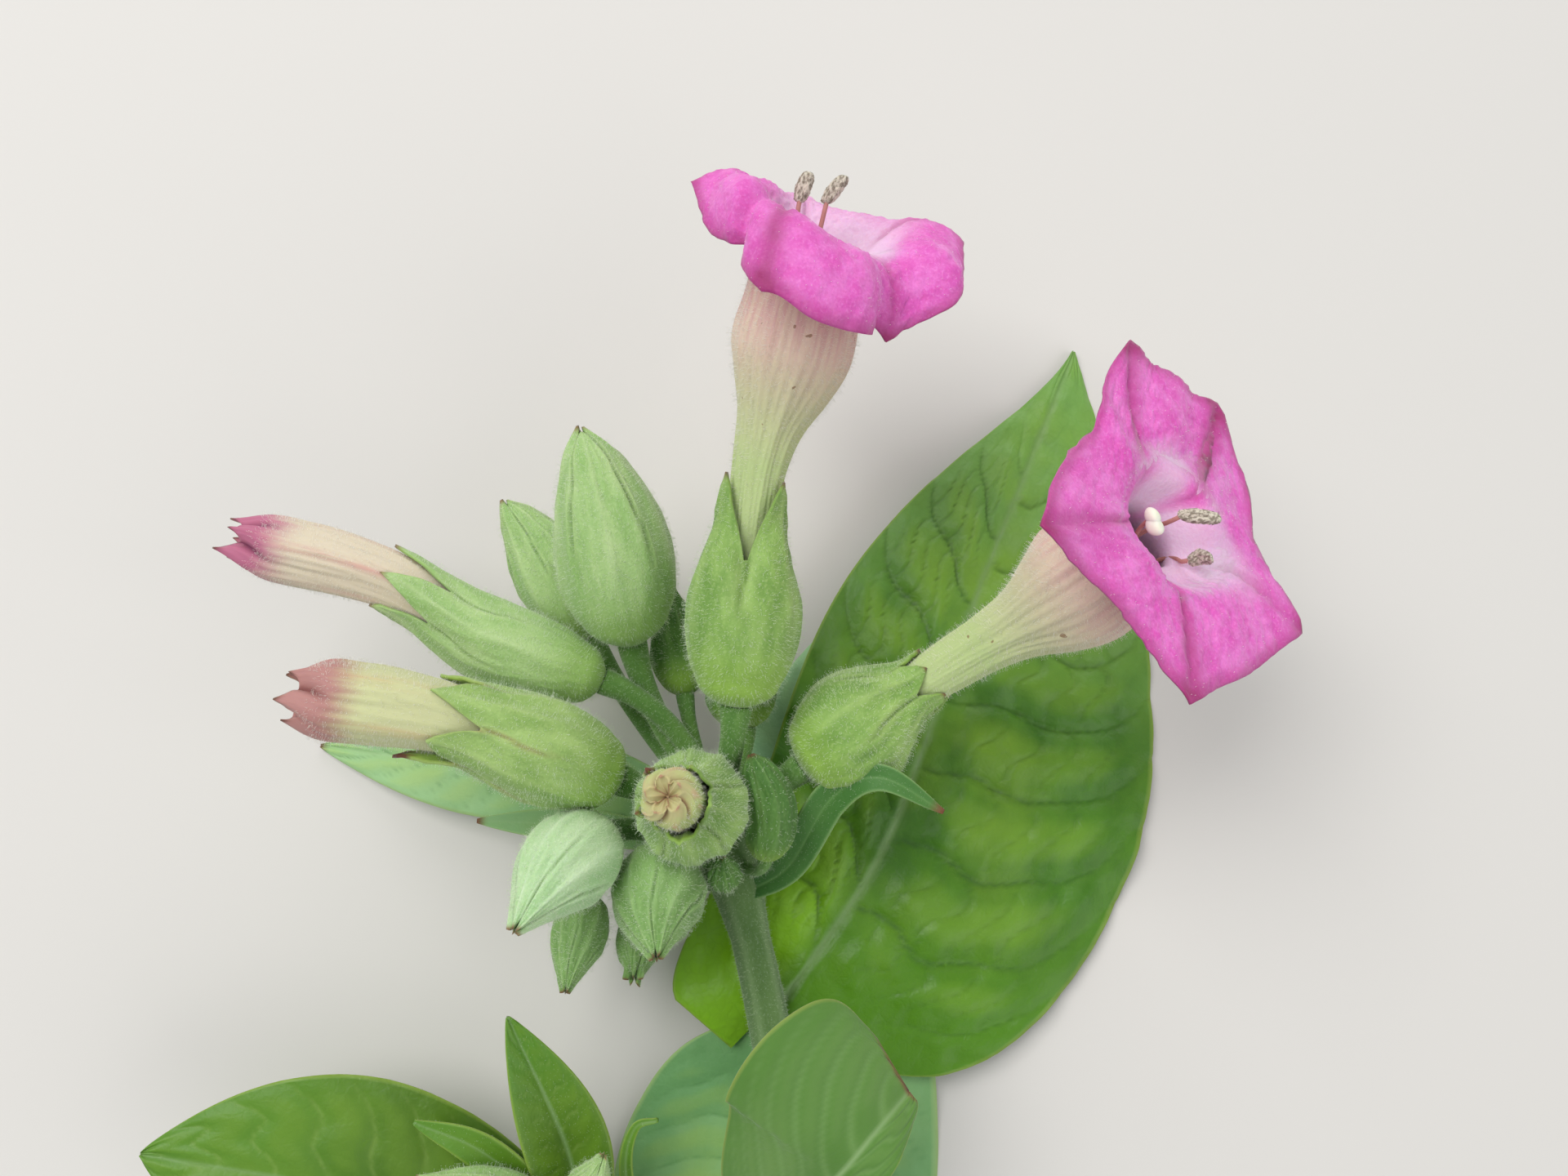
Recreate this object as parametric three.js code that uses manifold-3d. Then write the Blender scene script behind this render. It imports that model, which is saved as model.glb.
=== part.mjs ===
// Flowering top of a tobacco plant, cut from its stem and lying on its back.
// Millimetres, +Z up. X runs to the shoot's right and Y from the cut towards the flowers.
// The floor is z = 0: the lowest leaf, the big leaf's edge and the left leaf's tip rest on it.
import * as THREE from 'three';
import { mergeVertices } from 'three/addons/utils/BufferGeometryUtils.js';
import Module from 'manifold-3d';

const wasm = await Module();
wasm.setup();

// Space that neighbouring pieces keep between them.
const GAP = 0.3;

// The middle of the shoot's outline, which becomes the origin.
const CENTRE_X = -7.67;
const CENTRE_Y = -29.34;

// Sides of the round pieces. The calyx and the corolla have five teeth or lobes.
const STEM_SIDES = 12;
const STALK_SIDES = 7;
const BLOOM_SIDES = 20;
const BUD_SIDES = 10;
const PARTS_PER_BLOOM = 5;

// The stem, from its flat cut to the head that the flower stalks leave.
const STEM_PATH = [
  [4, -82.5, 4.2], [1.5, -67, 5.6], [-1, -55, 7.2], [-3, -45.5, 9],
  [-5, -37.5, 11], [-7, -31, 12.5], [-8, -25.5, 14],
];
const STEM_RADII = [[0, 2.75], [0.7, 2.2], [0.82, 3], [0.95, 2.8], [1, 2]];
const STEM_STEPS = 18;
const SIDE_SHOOT_PATH = [[3, -77.5, 4.2], [-10, -77, 6], [-22.5, -73.5, 9.5]];
const SIDE_SHOOT_RADII = [[0, 1.8], [0.8, 1.5], [1, 2]];
const SIDE_SHOOT_STEPS = 6;

const STALK_RADIUS = 1.3;
const STALK_STEPS = 4;

// A calyx: its radius as a share of the widest, at each share of its height up to its middle.
// Above the middle it narrows smoothly to its own mouth.
const CALYX_BODY = [[0.03, 0.5], [0.13, 0.78], [0.29, 0.97], [0.5, 1]];
const CALYX_NECK = [0.7, 0.86, 1];
const CALYX_FOOT = 0.25;
const CALYX_FLOOR_RADIUS = 0.44;
const CALYX_WALL = 0.5;
const CALYX_FLOOR = 0.06;
const NOTCH_HEIGHT = 0.66;

// A closed bud, the same way: the calyx teeth meet over it.
const BUD_PROFILE = [
  [0.05, 0.55], [0.16, 0.84], [0.32, 1], [0.48, 0.98], [0.64, 0.8], [0.79, 0.52], [0.91, 0.27], [1, 0.12],
];
const BUD_RIDGE = 0.05;

// The corolla of an opening bud: a closed tube with five furled points at its end.
const FURLED_PROFILE = [[0.3, 0.72], [0.55, 0.88], [0.78, 1], [0.92, 0.96], [1, 0.7]];
const FURLED_FOOT = 0.5;
const FURLED_NOTCH = 0.94;
const FURLED_MIDDLE = 0.93;

// The tube of an open corolla: its radius in millimetres at each share of its length.
const TUBE_PROFILE = [
  [0.2, 2.1], [0.38, 2.7], [0.5, 3], [0.6, 3.8], [0.67, 5.2], [0.74, 6.4], [0.86, 6.3], [0.95, 6.5],
];
const TUBE_FOOT = 1.4;
const THROAT_RADIUS = 6;
const THROAT_FLOOR = 0.5;
const THROAT_FLOOR_RADIUS = 2.2;
const PETAL_THICKNESS = 0.6;
const LIMB_SHARES = [0.3, 0.65, 1];
const LIMB_NECK = 0.1;

// Five stamens and a style stand on a small base in the throat.
const FILAMENT_RADIUS = 0.3;
const FILAMENT_SIDES = 5;
const FILAMENT_STEPS = 3;
const FILAMENT_SPREAD = 2.4;
const ANTHER_LENGTH = 3.7;
const ANTHER_RADIUS = 0.7;
const STIGMA_RADIUS = 1.1;
const STAMEN_BASE_RADIUS = 1.6;
const STAMEN_BASE_HEIGHT = 0.8;

// Open flowers. Root is the share of the stem's length where the stalk leaves it. The axis runs
// from the calyx's foot to the throat. Mouth is the calyx's radius at its rim, as a share of its
// widest. Reach is how far each lobe's tip lies from the axis, measured over the petal. A lobe
// leaves the throat at the flare angle and bends back through the curl angle, both in radians.
// Lean is how far its tip is turned round the axis, in degrees. Anthers are heights above the throat.
const FLOWERS = {
  flower_top: {
    root: 0.97, axis: [[-5, -18, 25.5], [-3, 3.5, 31.5], [0.5, 16, 36.5], [3.5, 27, 42]],
    radius: 6, calyxLength: 24, calyxTurn: 54, mouth: 0.62, limbTurn: 18,
    reach: [16.5, 20.5, 21, 17, 17], flare: [1.3, 0.5, 0.8, 0.9, 1],
    curl: [3.2, 2.3, 2.8, 1.4, 1.4], lean: [0, 0, 0, 0, 0],
    anthers: [3.2, 3, -3, -4, -5], antherTurn: 254, stigma: -1,
  },
  flower_right: {
    root: 0.9, axis: [[2, -24, 20], [16, -14.5, 23], [28.5, -7.5, 30], [35.2, -2.3, 35], [38, -1.5, 39]],
    radius: 6.2, calyxLength: 17.5, calyxTurn: 0, mouth: 0.62, limbTurn: 16,
    reach: [18.8, 21, 19.8, 18.8, 17.8], flare: [0.3, 0.3, 0.3, 0.3, 0.3],
    curl: [0.4, 0.4, 0.4, 0.4, 0.4], lean: [-16, 2, -6, -10, 10],
    anthers: [0.5, 0.5, -3, -4, -5], antherTurn: 200, stigma: 0.5,
  },
};

// Buds that are about to open: a calyx with the furled corolla standing out of it.
const OPENING_BUDS = {
  opening_bud_upper: {
    root: 0.96, axis: [[-20, -14.5, 19], [-32, -10.5, 22.5], [-42.5, -4.5, 26], [-59, -0.5, 28]],
    radius: 4.6, calyxLength: 27, calyxTurn: 20, mouth: 0.9, furledRadius: 3.4,
  },
  opening_bud_lower: {
    root: 0.92, axis: [[-17.5, -25.5, 22.5], [-27, -22, 28], [-36, -19.5, 32], [-49, -18, 35]],
    radius: 5.4, calyxLength: 23, calyxTurn: 50, mouth: 0.88, furledRadius: 4,
  },
  opening_bud_front: {
    root: 0.88, axis: [[-9.5, -28.5, 20.5], [-9.5, -28.5, 29.5], [-11, -28, 39.5]],
    radius: 5.6, calyxLength: 17, calyxTurn: 10, mouth: 0.78, furledRadius: 3.1,
  },
};

// Closed buds.
const BUDS = {
  bud_upper_big: {
    root: 0.97, axis: [[-17, -10, 18], [-19, 1, 24.5], [-22, 12, 28]], radius: 6.3,
  },
  bud_upper_small: {
    root: 0.94, axis: [[-22.5, -8.5, 12.5], [-27, -0.5, 15.5], [-32, 6.5, 18.5]], radius: 4.5,
  },
  bud_back_left: {
    root: 0.97, axis: [[-11.5, -15, 11], [-12.5, -8, 10.5], [-13.5, -2, 11.5]], radius: 3.3,
  },
  bud_back_middle: {
    root: 0.98, axis: [[-4.5, -19, 11.5], [-5, -14, 11.5], [-5, -8.5, 11]], radius: 3.9,
  },
  bud_front_left: {
    root: 0.85, axis: [[-19.5, -31.5, 20], [-22.5, -35, 28.5], [-25.5, -40.5, 35]], radius: 4.7,
  },
  bud_front_middle: {
    root: 0.82, axis: [[-12.8, -33.5, 16.5], [-13.2, -39, 23], [-12.7, -43.5, 27.5]], radius: 4.8,
  },
  bud_under_left: {
    root: 0.8, axis: [[-21.5, -38, 12], [-22.5, -43, 16], [-23, -47.5, 19]], radius: 2.9,
  },
  bud_under_middle: {
    root: 0.79, axis: [[-15.5, -39, 9.5], [-16, -43, 13], [-16, -46.5, 17.5]], radius: 2.5,
  },
  bud_right: {
    root: 0.86, axis: [[-2, -33.5, 18.5], [-1.5, -28.5, 23], [-3.5, -23, 24.5]], radius: 2.7,
  },
  bud_tiny: {
    root: 0.82, axis: [[-6, -36, 17.5], [-6.5, -35, 20.5], [-6.5, -33.5, 23.5]], radius: 1.8,
  },
};

// Buds of the side shoot, which leave its end.
const SIDE_BUDS = {
  side_bud_left: {
    root: 0.98, axis: [[-25, -69.5, 14.5], [-31, -67.5, 17.5], [-38, -66, 17.5]], radius: 2.8,
  },
  side_bud_right: {
    root: 0.98, axis: [[-22, -70, 13.5], [-20, -66.5, 16.5], [-18.5, -63.5, 18.5]], radius: 2.3,
  },
};

// Leaves. The midrib runs from the stem to the tip. Half is the greatest half-width on the left
// and the right of it, with the leaf's face towards the eye and its tip up, and widest is where
// along the midrib each lies. Round and point shape the outline at the base and at the tip: less
// is fuller. Fold is the slope of the halves, heel is how far the base's corners reach back and
// shoulder how far the tip's reach forward. A leaf that rests touches the floor at its lowest
// point. Beside names the pieces that the leaf is cut clear of.
const LEAVES = {
  leaf_under: {
    midrib: [[-1.5, -54.5, 3.5], [-3, -63, 2], [-5, -78, 1], [-6, -96, 0.6]], facing: [0, 0, 1],
    half: [21.5, 15.5], widest: [0.36, 0.42], foot: 1.6, round: [0.15, 0.6], point: [0.8, 0.8],
    fold: -0.03, heel: [5, 5], shoulder: 0, wave: 0.1, rests: true, beside: ['stem'],
  },
  leaf_right: {
    midrib: [[-1, -51, 5], [12, -32, 5.2], [22.5, -5, 4], [38, 31.5, 1]], facing: [0.08, 0, 1],
    half: [15.5, 28.5], widest: [0.35, 0.36], foot: 2, round: [0.2, 0.5], point: [1.4, 0.95],
    fold: -0.06, heel: [6, 0], shoulder: 0, wave: 0.5, rests: true, beside: ['stem', 'leaf_under'],
  },
  leaf_back: {
    midrib: [[-3.5, -45.5, 6], [-1.5, -32.5, 4], [2.5, -17, 2], [6.5, -5, 1]], facing: [0, 0, 1],
    half: [7, 5], widest: [0.5, 0.5], foot: 1.2, round: [0.8, 0.8], point: [0.8, 0.8],
    fold: 0.02, heel: [0, 0], shoulder: 0, wave: 0.1, beside: ['stem', 'leaf_right'],
  },
  leaf_left: {
    midrib: [[-8, -29.5, 10.5], [-23, -24.5, 7], [-39.5, -22.5, 3], [-57, -20, 0.5]], facing: [0, 0, 1],
    half: [6, 5], widest: [0.5, 0.5], foot: 1.2, round: [0.8, 0.8], point: [0.9, 0.9],
    fold: 0.08, heel: [0, 0], shoulder: 0, wave: 0.2, rests: true, beside: ['stem'],
  },
  leaf_front: {
    midrib: [[2.5, -74, 5], [1.5, -69, 17], [5.5, -64.5, 22.5], [9, -60.5, 23], [12.7, -57, 20.5]],
    facing: [0, -0.3, 1],
    half: [15, 4], widest: [0.74, 0.62], foot: 1.4, round: [0.9, 0.7], point: [0.4, 0.4],
    fold: 0.1, heel: [0, 0], shoulder: 1.5, wave: 0.2, beside: ['stem'],
  },
  leaf_side: {
    midrib: [[-22.5, -73.5, 9.8], [-39.5, -70, 12], [-53.5, -66.5, 14.5], [-67.5, -64, 15.5]],
    facing: [0, 0, 1],
    half: [11, 12], widest: [0.5, 0.5], foot: 1.2, round: [0.7, 0.7], point: [0.85, 0.85],
    fold: 0.05, heel: [0, 0], shoulder: 0, wave: 0.2,
    beside: ['side_shoot', 'side_bud_left_stalk', 'side_bud_right_stalk'],
  },
  leaf_upright: {
    midrib: [[-21.5, -73, 9.8], [-23.5, -63.5, 12.5], [-29, -50, 18.5]], facing: [0.3, 0, 1],
    half: [4.5, 4.5], widest: [0.4, 0.4], foot: 1.2, round: [0.9, 0.9], point: [0.9, 0.9],
    fold: 0.35, heel: [0, 0], shoulder: 0, wave: 0,
    beside: [
      'side_shoot', 'leaf_side',
      'side_bud_left', 'side_bud_left_stalk', 'side_bud_right', 'side_bud_right_stalk',
    ],
  },
  bract_right: {
    midrib: [[-4.5, -37.5, 12], [0.5, -34.5, 15.5], [5, -27.5, 21.5], [10, -25.5, 25], [16.5, -29, 25]],
    facing: [0, 0, 1],
    half: [2, 2], widest: [0.45, 0.45], foot: 0.9, round: [0.9, 0.9], point: [0.9, 0.9],
    fold: 0.3, heel: [0, 0], shoulder: 0, wave: 0,
    beside: ['stem', 'bud_right', 'bud_right_stalk', 'bud_tiny', 'flower_right_calyx'],
  },
  bract_left: {
    midrib: [[-9.5, -32, 11], [-24, -30, 10.5], [-34.5, -29.5, 13]], facing: [0, 0, 1],
    half: [2, 2], widest: [0.5, 0.5], foot: 0.8, round: [0.9, 0.9], point: [0.9, 0.9],
    fold: 0.2, heel: [0, 0], shoulder: 0, wave: 0, beside: ['stem', 'bud_front_left_stalk'],
  },
  bract_low: {
    midrib: [[-23, -72.5, 10.5], [-31, -64, 16], [-38.5, -60.5, 17.5]], facing: [0, 0, 1],
    half: [2, 2], widest: [0.5, 0.5], foot: 0.8, round: [0.9, 0.9], point: [0.9, 0.9],
    fold: 0.2, heel: [0, 0], shoulder: 0, wave: 0,
    beside: ['side_shoot', 'leaf_side', 'leaf_upright', 'side_bud_left', 'side_bud_left_stalk'],
  },
  bract_hook: {
    midrib: [[-15, -76, 7.5], [-17, -67, 11], [-16, -62, 13], [-13.5, -61, 13.5]], facing: [0, 0, 1],
    half: [0.8, 0.8], widest: [0.4, 0.4], foot: 0.5, round: [0.9, 0.9], point: [0.9, 0.9],
    fold: 0.2, heel: [0, 0], shoulder: 0, wave: 0, beside: ['side_shoot'],
  },
};
const LEAF_THICKNESS_SHARE = 0.011;
const LEAF_THINNEST = 0.6;
const LEAF_TIP = 0.25;
const LEAF_ROW_SPACING = 5;
const LEAF_FEWEST_ROWS = 8;
const LEAF_COLUMN_SPACING = 4;
const WAVES_PER_LEAF = 3;

// Materials, one for each kind of surface.
function look(color, roughness) {
  return new THREE.MeshStandardMaterial({ color, roughness, metalness: 0 });
}
const STEM_GREEN = look('#8fae7a', 0.8);
const CALYX_GREEN = look('#93bb5f', 0.75);
const LEAF_GREEN = look('#6f9f35', 0.55);
const COROLLA_PINK = look('#e05fb0', 0.6);
const FURLED_PALE = look('#d9b49c', 0.7);
const STAMEN_CREAM = look('#c9b690', 0.8);

const plant = new THREE.Group();
plant.position.set(-CENTRE_X, -CENTRE_Y, 0);

const UP = new THREE.Vector3(0, 0, 1);
const TOP = new THREE.Vector3(0, 1, 0);
const { lerp, clamp, smoothstep, degToRad, euclideanModulo } = THREE.MathUtils;

const vector = (place) => new THREE.Vector3(...place);

function route(places) {
  return new THREE.CatmullRomCurve3(places.map(vector), false, 'catmullrom', 0.5);
}

// The value at a share of a length, straight between [share, value] pairs.
function between(pairs, share) {
  let i = 0;
  while (i < pairs.length - 2 && share > pairs[i + 1][0]) i += 1;
  const [start, low] = pairs[i];
  const [end, high] = pairs[i + 1];
  return lerp(low, high, clamp((share - start) / (end - start), 0, 1));
}

// Moves every vertex of a geometry by a function that changes a Vector3.
function reshape(geometry, change) {
  const places = geometry.attributes.position;
  const point = new THREE.Vector3();
  for (let i = 0; i < places.count; i += 1) {
    point.fromBufferAttribute(places, i);
    change(point);
    places.setXYZ(i, point.x, point.y, point.z);
  }
  return geometry;
}

// Wraps a straight shape, which stands along Z from 0, on a curve. Its Y side turns towards
// the facing direction, and what lies past either end of the curve goes straight on.
function bend(geometry, curve, facing) {
  const length = curve.getLength();
  return reshape(geometry, (point) => {
    const { x, y, z } = point;
    const share = clamp(z / length, 0, 1);
    const forward = curve.getTangentAt(share);
    const front = facing.clone().addScaledVector(forward, -facing.dot(forward)).normalize();
    const side = new THREE.Vector3().crossVectors(front, forward);
    point.copy(curve.getPointAt(share)).addScaledVector(side, x).addScaledVector(front, y);
    point.addScaledVector(forward, z - share * length);
  });
}

// A closed geometry as a solid that can be joined and cut.
function solid(geometry) {
  geometry.deleteAttribute('normal');
  geometry.deleteAttribute('uv');
  const merged = mergeVertices(geometry);
  const index = merged.index.array;
  const corners = [];
  for (let i = 0; i < index.length; i += 3) {
    const [a, b, c] = [index[i], index[i + 1], index[i + 2]];
    if (a !== b && b !== c && c !== a) corners.push(a, b, c);
  }
  const vertProperties = merged.attributes.position.array;
  const triVerts = Uint32Array.from(corners);
  return new wasm.Manifold(new wasm.Mesh({ numProp: 3, vertProperties, triVerts }));
}

// Each piece again, larger all round by the gap, to cut its neighbours with.
const cutters = {};

// Builds a piece, keeps it clear of the pieces beside it and adds it to the plant. Where a
// neighbour cuts off a root's end, the end is left out.
function add(name, surface, build, beside = []) {
  let piece = build(0);
  for (const other of beside) piece = piece.subtract(cutters[other]);
  const [largest] = piece.decompose().sort((a, b) => b.volume() - a.volume());
  const { vertProperties, triVerts } = largest.getMesh();
  const geometry = new THREE.BufferGeometry();
  geometry.setAttribute('position', new THREE.BufferAttribute(vertProperties, 3));
  geometry.setIndex(new THREE.BufferAttribute(triVerts, 1));
  geometry.computeVertexNormals();
  const mesh = new THREE.Mesh(geometry, surface);
  mesh.name = name;
  plant.add(mesh);
  cutters[name] = build(GAP);
}

// A round limb along a curve. Its radius is a function of the share of its length.
function limb(curve, radiusAt, sides, steps, grow = 0) {
  const length = curve.getLength();
  const tube = new THREE.CylinderGeometry(1, 1, length, sides, steps);
  tube.rotateX(Math.PI / 2).translate(0, 0, length / 2);
  reshape(tube, (point) => {
    const radius = radiusAt(point.z / length) + grow;
    point.x *= radius;
    point.y *= radius;
  });
  return bend(tube, curve, UP);
}

// Turns [radius, height] pairs round Z, from the axis back to the axis.
function turned(profile, sides) {
  const points = profile.map(([radius, height]) => new THREE.Vector2(radius, height));
  return new THREE.LatheGeometry(points, sides).rotateX(Math.PI / 2).rotateZ(Math.PI / 2);
}

// Which of the five parts an angle lies in, as a number from 0 to 5.
function partAt(point) {
  return euclideanModulo(Math.atan2(point.y, point.x) * PARTS_PER_BLOOM / (2 * Math.PI), PARTS_PER_BLOOM);
}

// 1 at the tip of each tooth or furled lobe and 0 in the notch between two.
function tipness(point) {
  return Math.abs(2 * (partAt(point) % 1) - 1);
}

// The facing direction of a bloom's cross-sections: a bloom that stands up faces the top.
function facingOf(curve) {
  return Math.abs(curve.getTangentAt(0).z) > 0.9 ? TOP : UP;
}

// An open calyx: a cup whose rim rises to five teeth.
function calyx(curve, { radius, calyxLength, calyxTurn, mouth }, grow) {
  const neck = CALYX_NECK.map((share) => [share, lerp(1, mouth, smoothstep(share, 0.5, 1))]);
  const wall = [...CALYX_BODY, ...neck].map(([share, width]) => [width * radius, share * calyxLength]);
  const floor = CALYX_FLOOR * calyxLength;
  const inner = wall.filter(([, height]) => height > floor).reverse();
  const cup = turned([
    [0, -grow],
    [CALYX_FOOT * radius + grow, -grow],
    ...wall.map(([width, height]) => [width + grow, height]),
    ...inner.map(([width, height]) => [width - CALYX_WALL, height]),
    [CALYX_FLOOR_RADIUS * radius, floor],
    [0, floor],
  ], BLOOM_SIDES);
  reshape(cup, (point) => {
    const rim = lerp(NOTCH_HEIGHT, 1, tipness(point));
    point.z *= lerp(1, rim, Math.max(point.z, 0) / calyxLength);
  });
  return bend(cup.rotateZ(degToRad(calyxTurn)), curve, facingOf(curve));
}

// A closed bud: five ridged calyx teeth that meet at its tip.
function bud(curve, radius, grow) {
  const length = curve.getLength();
  const profile = BUD_PROFILE.map(([share, width]) => [width * radius + grow, share * length]);
  const shape = turned([
    [0, -grow], [CALYX_FOOT * radius + grow, -grow], ...profile, [0, length + grow],
  ], BUD_SIDES);
  reshape(shape, (point) => {
    const ridge = 1 + BUD_RIDGE * (2 * tipness(point) - 1);
    point.x *= ridge;
    point.y *= ridge;
  });
  return bend(shape, curve, facingOf(curve));
}

// The furled corolla of an opening bud, from just above the calyx's floor.
function furled(curve, { furledRadius, calyxLength, calyxTurn }, grow) {
  const length = curve.getLength();
  const start = CALYX_FLOOR * calyxLength + GAP;
  const heightAt = (share) => lerp(start, length, share);
  const shape = turned([
    [0, start],
    [FURLED_FOOT * furledRadius + grow, start],
    ...FURLED_PROFILE.map(([share, width]) => [width * furledRadius + grow, heightAt(share)]),
    [0, heightAt(FURLED_MIDDLE)],
  ], BLOOM_SIDES);
  reshape(shape, (point) => {
    const rim = lerp(FURLED_NOTCH, 1, tipness(point));
    if (Math.hypot(point.x, point.y) > 0) point.z *= lerp(1, rim, point.z / length);
  });
  return bend(shape.rotateZ(degToRad(calyxTurn)), curve, facingOf(curve));
}

// The value of one lobe, going smoothly over to the next lobe's between their tips.
function lobeValue(values, part) {
  const lobe = Math.floor(part) % PARTS_PER_BLOOM;
  return lerp(values[lobe], values[(lobe + 1) % PARTS_PER_BLOOM], smoothstep(part % 1, 0, 1));
}

// How far a five-sided limb reaches at an angle, as a share of the way to its tips.
function fiveSided(part) {
  const half = Math.PI / PARTS_PER_BLOOM;
  return Math.cos(half) / Math.cos((part % 1) * 2 * half - half);
}

// An open corolla: a hollow tube that widens to the throat and spreads into five lobes.
function corolla(curve, flower, grow) {
  const length = curve.getLength();
  const start = CALYX_FLOOR * flower.calyxLength + GAP;
  const heightAt = (share) => lerp(start, length, share);
  const tube = TUBE_PROFILE.map(([share, radius]) => [radius, heightAt(share)]);
  const inside = tube.filter(([, height]) => height > THROAT_FLOOR * length).reverse();
  const shape = turned([
    [0, start],
    [TUBE_FOOT + grow, start],
    ...tube.map(([radius, height]) => [radius + grow, height]),
    ...[LIMB_NECK, ...LIMB_SHARES].map((share) => [THROAT_RADIUS + share, length - PETAL_THICKNESS - grow]),
    ...[...LIMB_SHARES].reverse().map((share) => [THROAT_RADIUS + share, length + grow]),
    [THROAT_RADIUS, length + grow],
    ...inside.map(([radius, height]) => [radius - PETAL_THICKNESS, height]),
    [THROAT_FLOOR_RADIUS, THROAT_FLOOR * length],
    [0, THROAT_FLOOR * length],
  ], BLOOM_SIDES);
  // The limb starts as a flat ring one unit wide. Each lobe is stretched and curled back.
  const limbStart = length - 1.5 * PETAL_THICKNESS - grow;
  reshape(shape, (point) => {
    if (point.z < limbStart) return;
    const part = partAt(point);
    const share = Math.hypot(point.x, point.y) - THROAT_RADIUS;
    const reach = lobeValue(flower.reach, part) * fiveSided(part) - THROAT_RADIUS;
    const lean = degToRad(lobeValue(flower.lean, part)) * share;
    const angle = Math.atan2(point.y, point.x) + lean;
    const curl = lobeValue(flower.curl, part);
    const flare = lobeValue(flower.flare, part);
    const slope = flare - curl * share;
    const bendRadius = reach / curl;
    const layer = point.z - length;
    const out = THROAT_RADIUS + bendRadius * (Math.sin(flare) - Math.sin(slope)) - layer * Math.sin(slope);
    const rise = bendRadius * (Math.cos(slope) - Math.cos(flare)) + layer * Math.cos(slope);
    point.set(out * Math.cos(angle), out * Math.sin(angle), length + rise);
  });
  return bend(shape.rotateZ(degToRad(flower.limbTurn)), curve, UP);
}

// The stamens and the style of an open flower, joined on their base.
function stamens(curve, flower) {
  const length = curve.getLength();
  const floor = THROAT_FLOOR * length + GAP;
  const onAxis = (shape) => solid(bend(shape, curve, UP));
  const base = new THREE.CylinderGeometry(1, 1, STAMEN_BASE_HEIGHT, FILAMENT_SIDES).rotateX(Math.PI / 2);
  base.scale(STAMEN_BASE_RADIUS, STAMEN_BASE_RADIUS, 1).translate(0, 0, floor + STAMEN_BASE_HEIGHT / 2);
  let all = onAxis(base);
  const stand = (angle, height, spread) => {
    const [x, y] = [Math.cos(angle) * spread, Math.sin(angle) * spread];
    const foot = [x * 0.3, y * 0.3, floor + STAMEN_BASE_HEIGHT / 2];
    const knee = [x * 0.8, y * 0.8, lerp(floor, height, 0.6)];
    const path = route([foot, knee, [x, y, height]]);
    all = all.add(onAxis(limb(path, () => FILAMENT_RADIUS, FILAMENT_SIDES, FILAMENT_STEPS)));
    return [x, y];
  };
  flower.anthers.forEach((rise, i) => {
    const angle = degToRad(flower.antherTurn) + i * 2 * Math.PI / PARTS_PER_BLOOM;
    const height = length + rise;
    const [x, y] = stand(angle, height, FILAMENT_SPREAD);
    const anther = new THREE.SphereGeometry(1, 6, 5).rotateX(Math.PI / 2);
    anther.scale(ANTHER_RADIUS, ANTHER_RADIUS, ANTHER_LENGTH / 2);
    all = all.add(onAxis(anther.translate(x, y, height + ANTHER_LENGTH / 3)));
  });
  const top = length + flower.stigma;
  stand(0, top, 0);
  const stigma = new THREE.SphereGeometry(STIGMA_RADIUS, 6, 4).rotateX(Math.PI / 2).scale(1, 1, 0.6);
  return all.add(onAxis(stigma.translate(0, 0, top)));
}

// A leaf or a bract: a thin blade on its midrib, widest where its outline says.
function blade(leaf, grow) {
  const curve = route(leaf.midrib);
  const length = curve.getLength();
  const thickness = Math.max(LEAF_THINNEST, length * LEAF_THICKNESS_SHARE) + 2 * grow;
  const rows = Math.max(LEAF_FEWEST_ROWS, Math.round(length / LEAF_ROW_SPACING));
  const columns = 2 * Math.max(1, Math.round(Math.max(...leaf.half) / LEAF_COLUMN_SPACING));
  const sheet = new THREE.BoxGeometry(2, thickness, length, columns, 1, rows).translate(0, 0, length / 2);
  reshape(sheet, (point) => {
    const share = clamp(point.z / length, 0, 1);
    const side = point.x > 0 ? 0 : 1;
    const exponent = Math.log(0.5) / Math.log(leaf.widest[side]);
    const narrow = lerp(leaf.foot, LEAF_TIP, share);
    const fullness = lerp(leaf.round[side], leaf.point[side], share);
    const outline = Math.max(Math.sin(Math.PI * share ** exponent), 0) ** fullness;
    const half = lerp(narrow, leaf.half[side], outline) + grow;
    const edge = point.x * point.x;
    point.y += leaf.fold * Math.abs(point.x) * half;
    point.y += leaf.wave * edge * Math.sin(2 * Math.PI * WAVES_PER_LEAF * share);
    point.z += edge * (leaf.shoulder * share * outline - leaf.heel[side] * (1 - share) ** 4);
    point.x *= half;
  });
  bend(sheet, curve, vector(leaf.facing));
  if (leaf.rests) {
    sheet.computeBoundingBox();
    sheet.translate(0, 0, -grow - sheet.boundingBox.min.z);
  }
  return sheet;
}

// A stalk from the stem's middle to a bloom's foot, which it meets square.
function stalk(stem, bloom, root, radius, grow) {
  const [foot] = bloom.getPoints(1);
  const forward = bloom.getTangentAt(0);
  const start = stem.getPointAt(root);
  const elbow = foot.clone().addScaledVector(forward, -start.distanceTo(foot) / 2);
  const end = foot.clone().addScaledVector(forward, -GAP);
  const curve = new THREE.QuadraticBezierCurve3(start, elbow, end);
  return limb(curve, () => radius, STALK_SIDES, STALK_STEPS, grow);
}

const stemCurve = route(STEM_PATH);
add('stem', STEM_GREEN, (grow) => solid(
  limb(stemCurve, (share) => between(STEM_RADII, share), STEM_SIDES, STEM_STEPS, grow),
));
const sideCurve = route(SIDE_SHOOT_PATH);
add('side_shoot', STEM_GREEN, (grow) => solid(
  limb(sideCurve, (share) => between(SIDE_SHOOT_RADII, share), STALK_SIDES, SIDE_SHOOT_STEPS, grow),
), ['stem']);

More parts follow.
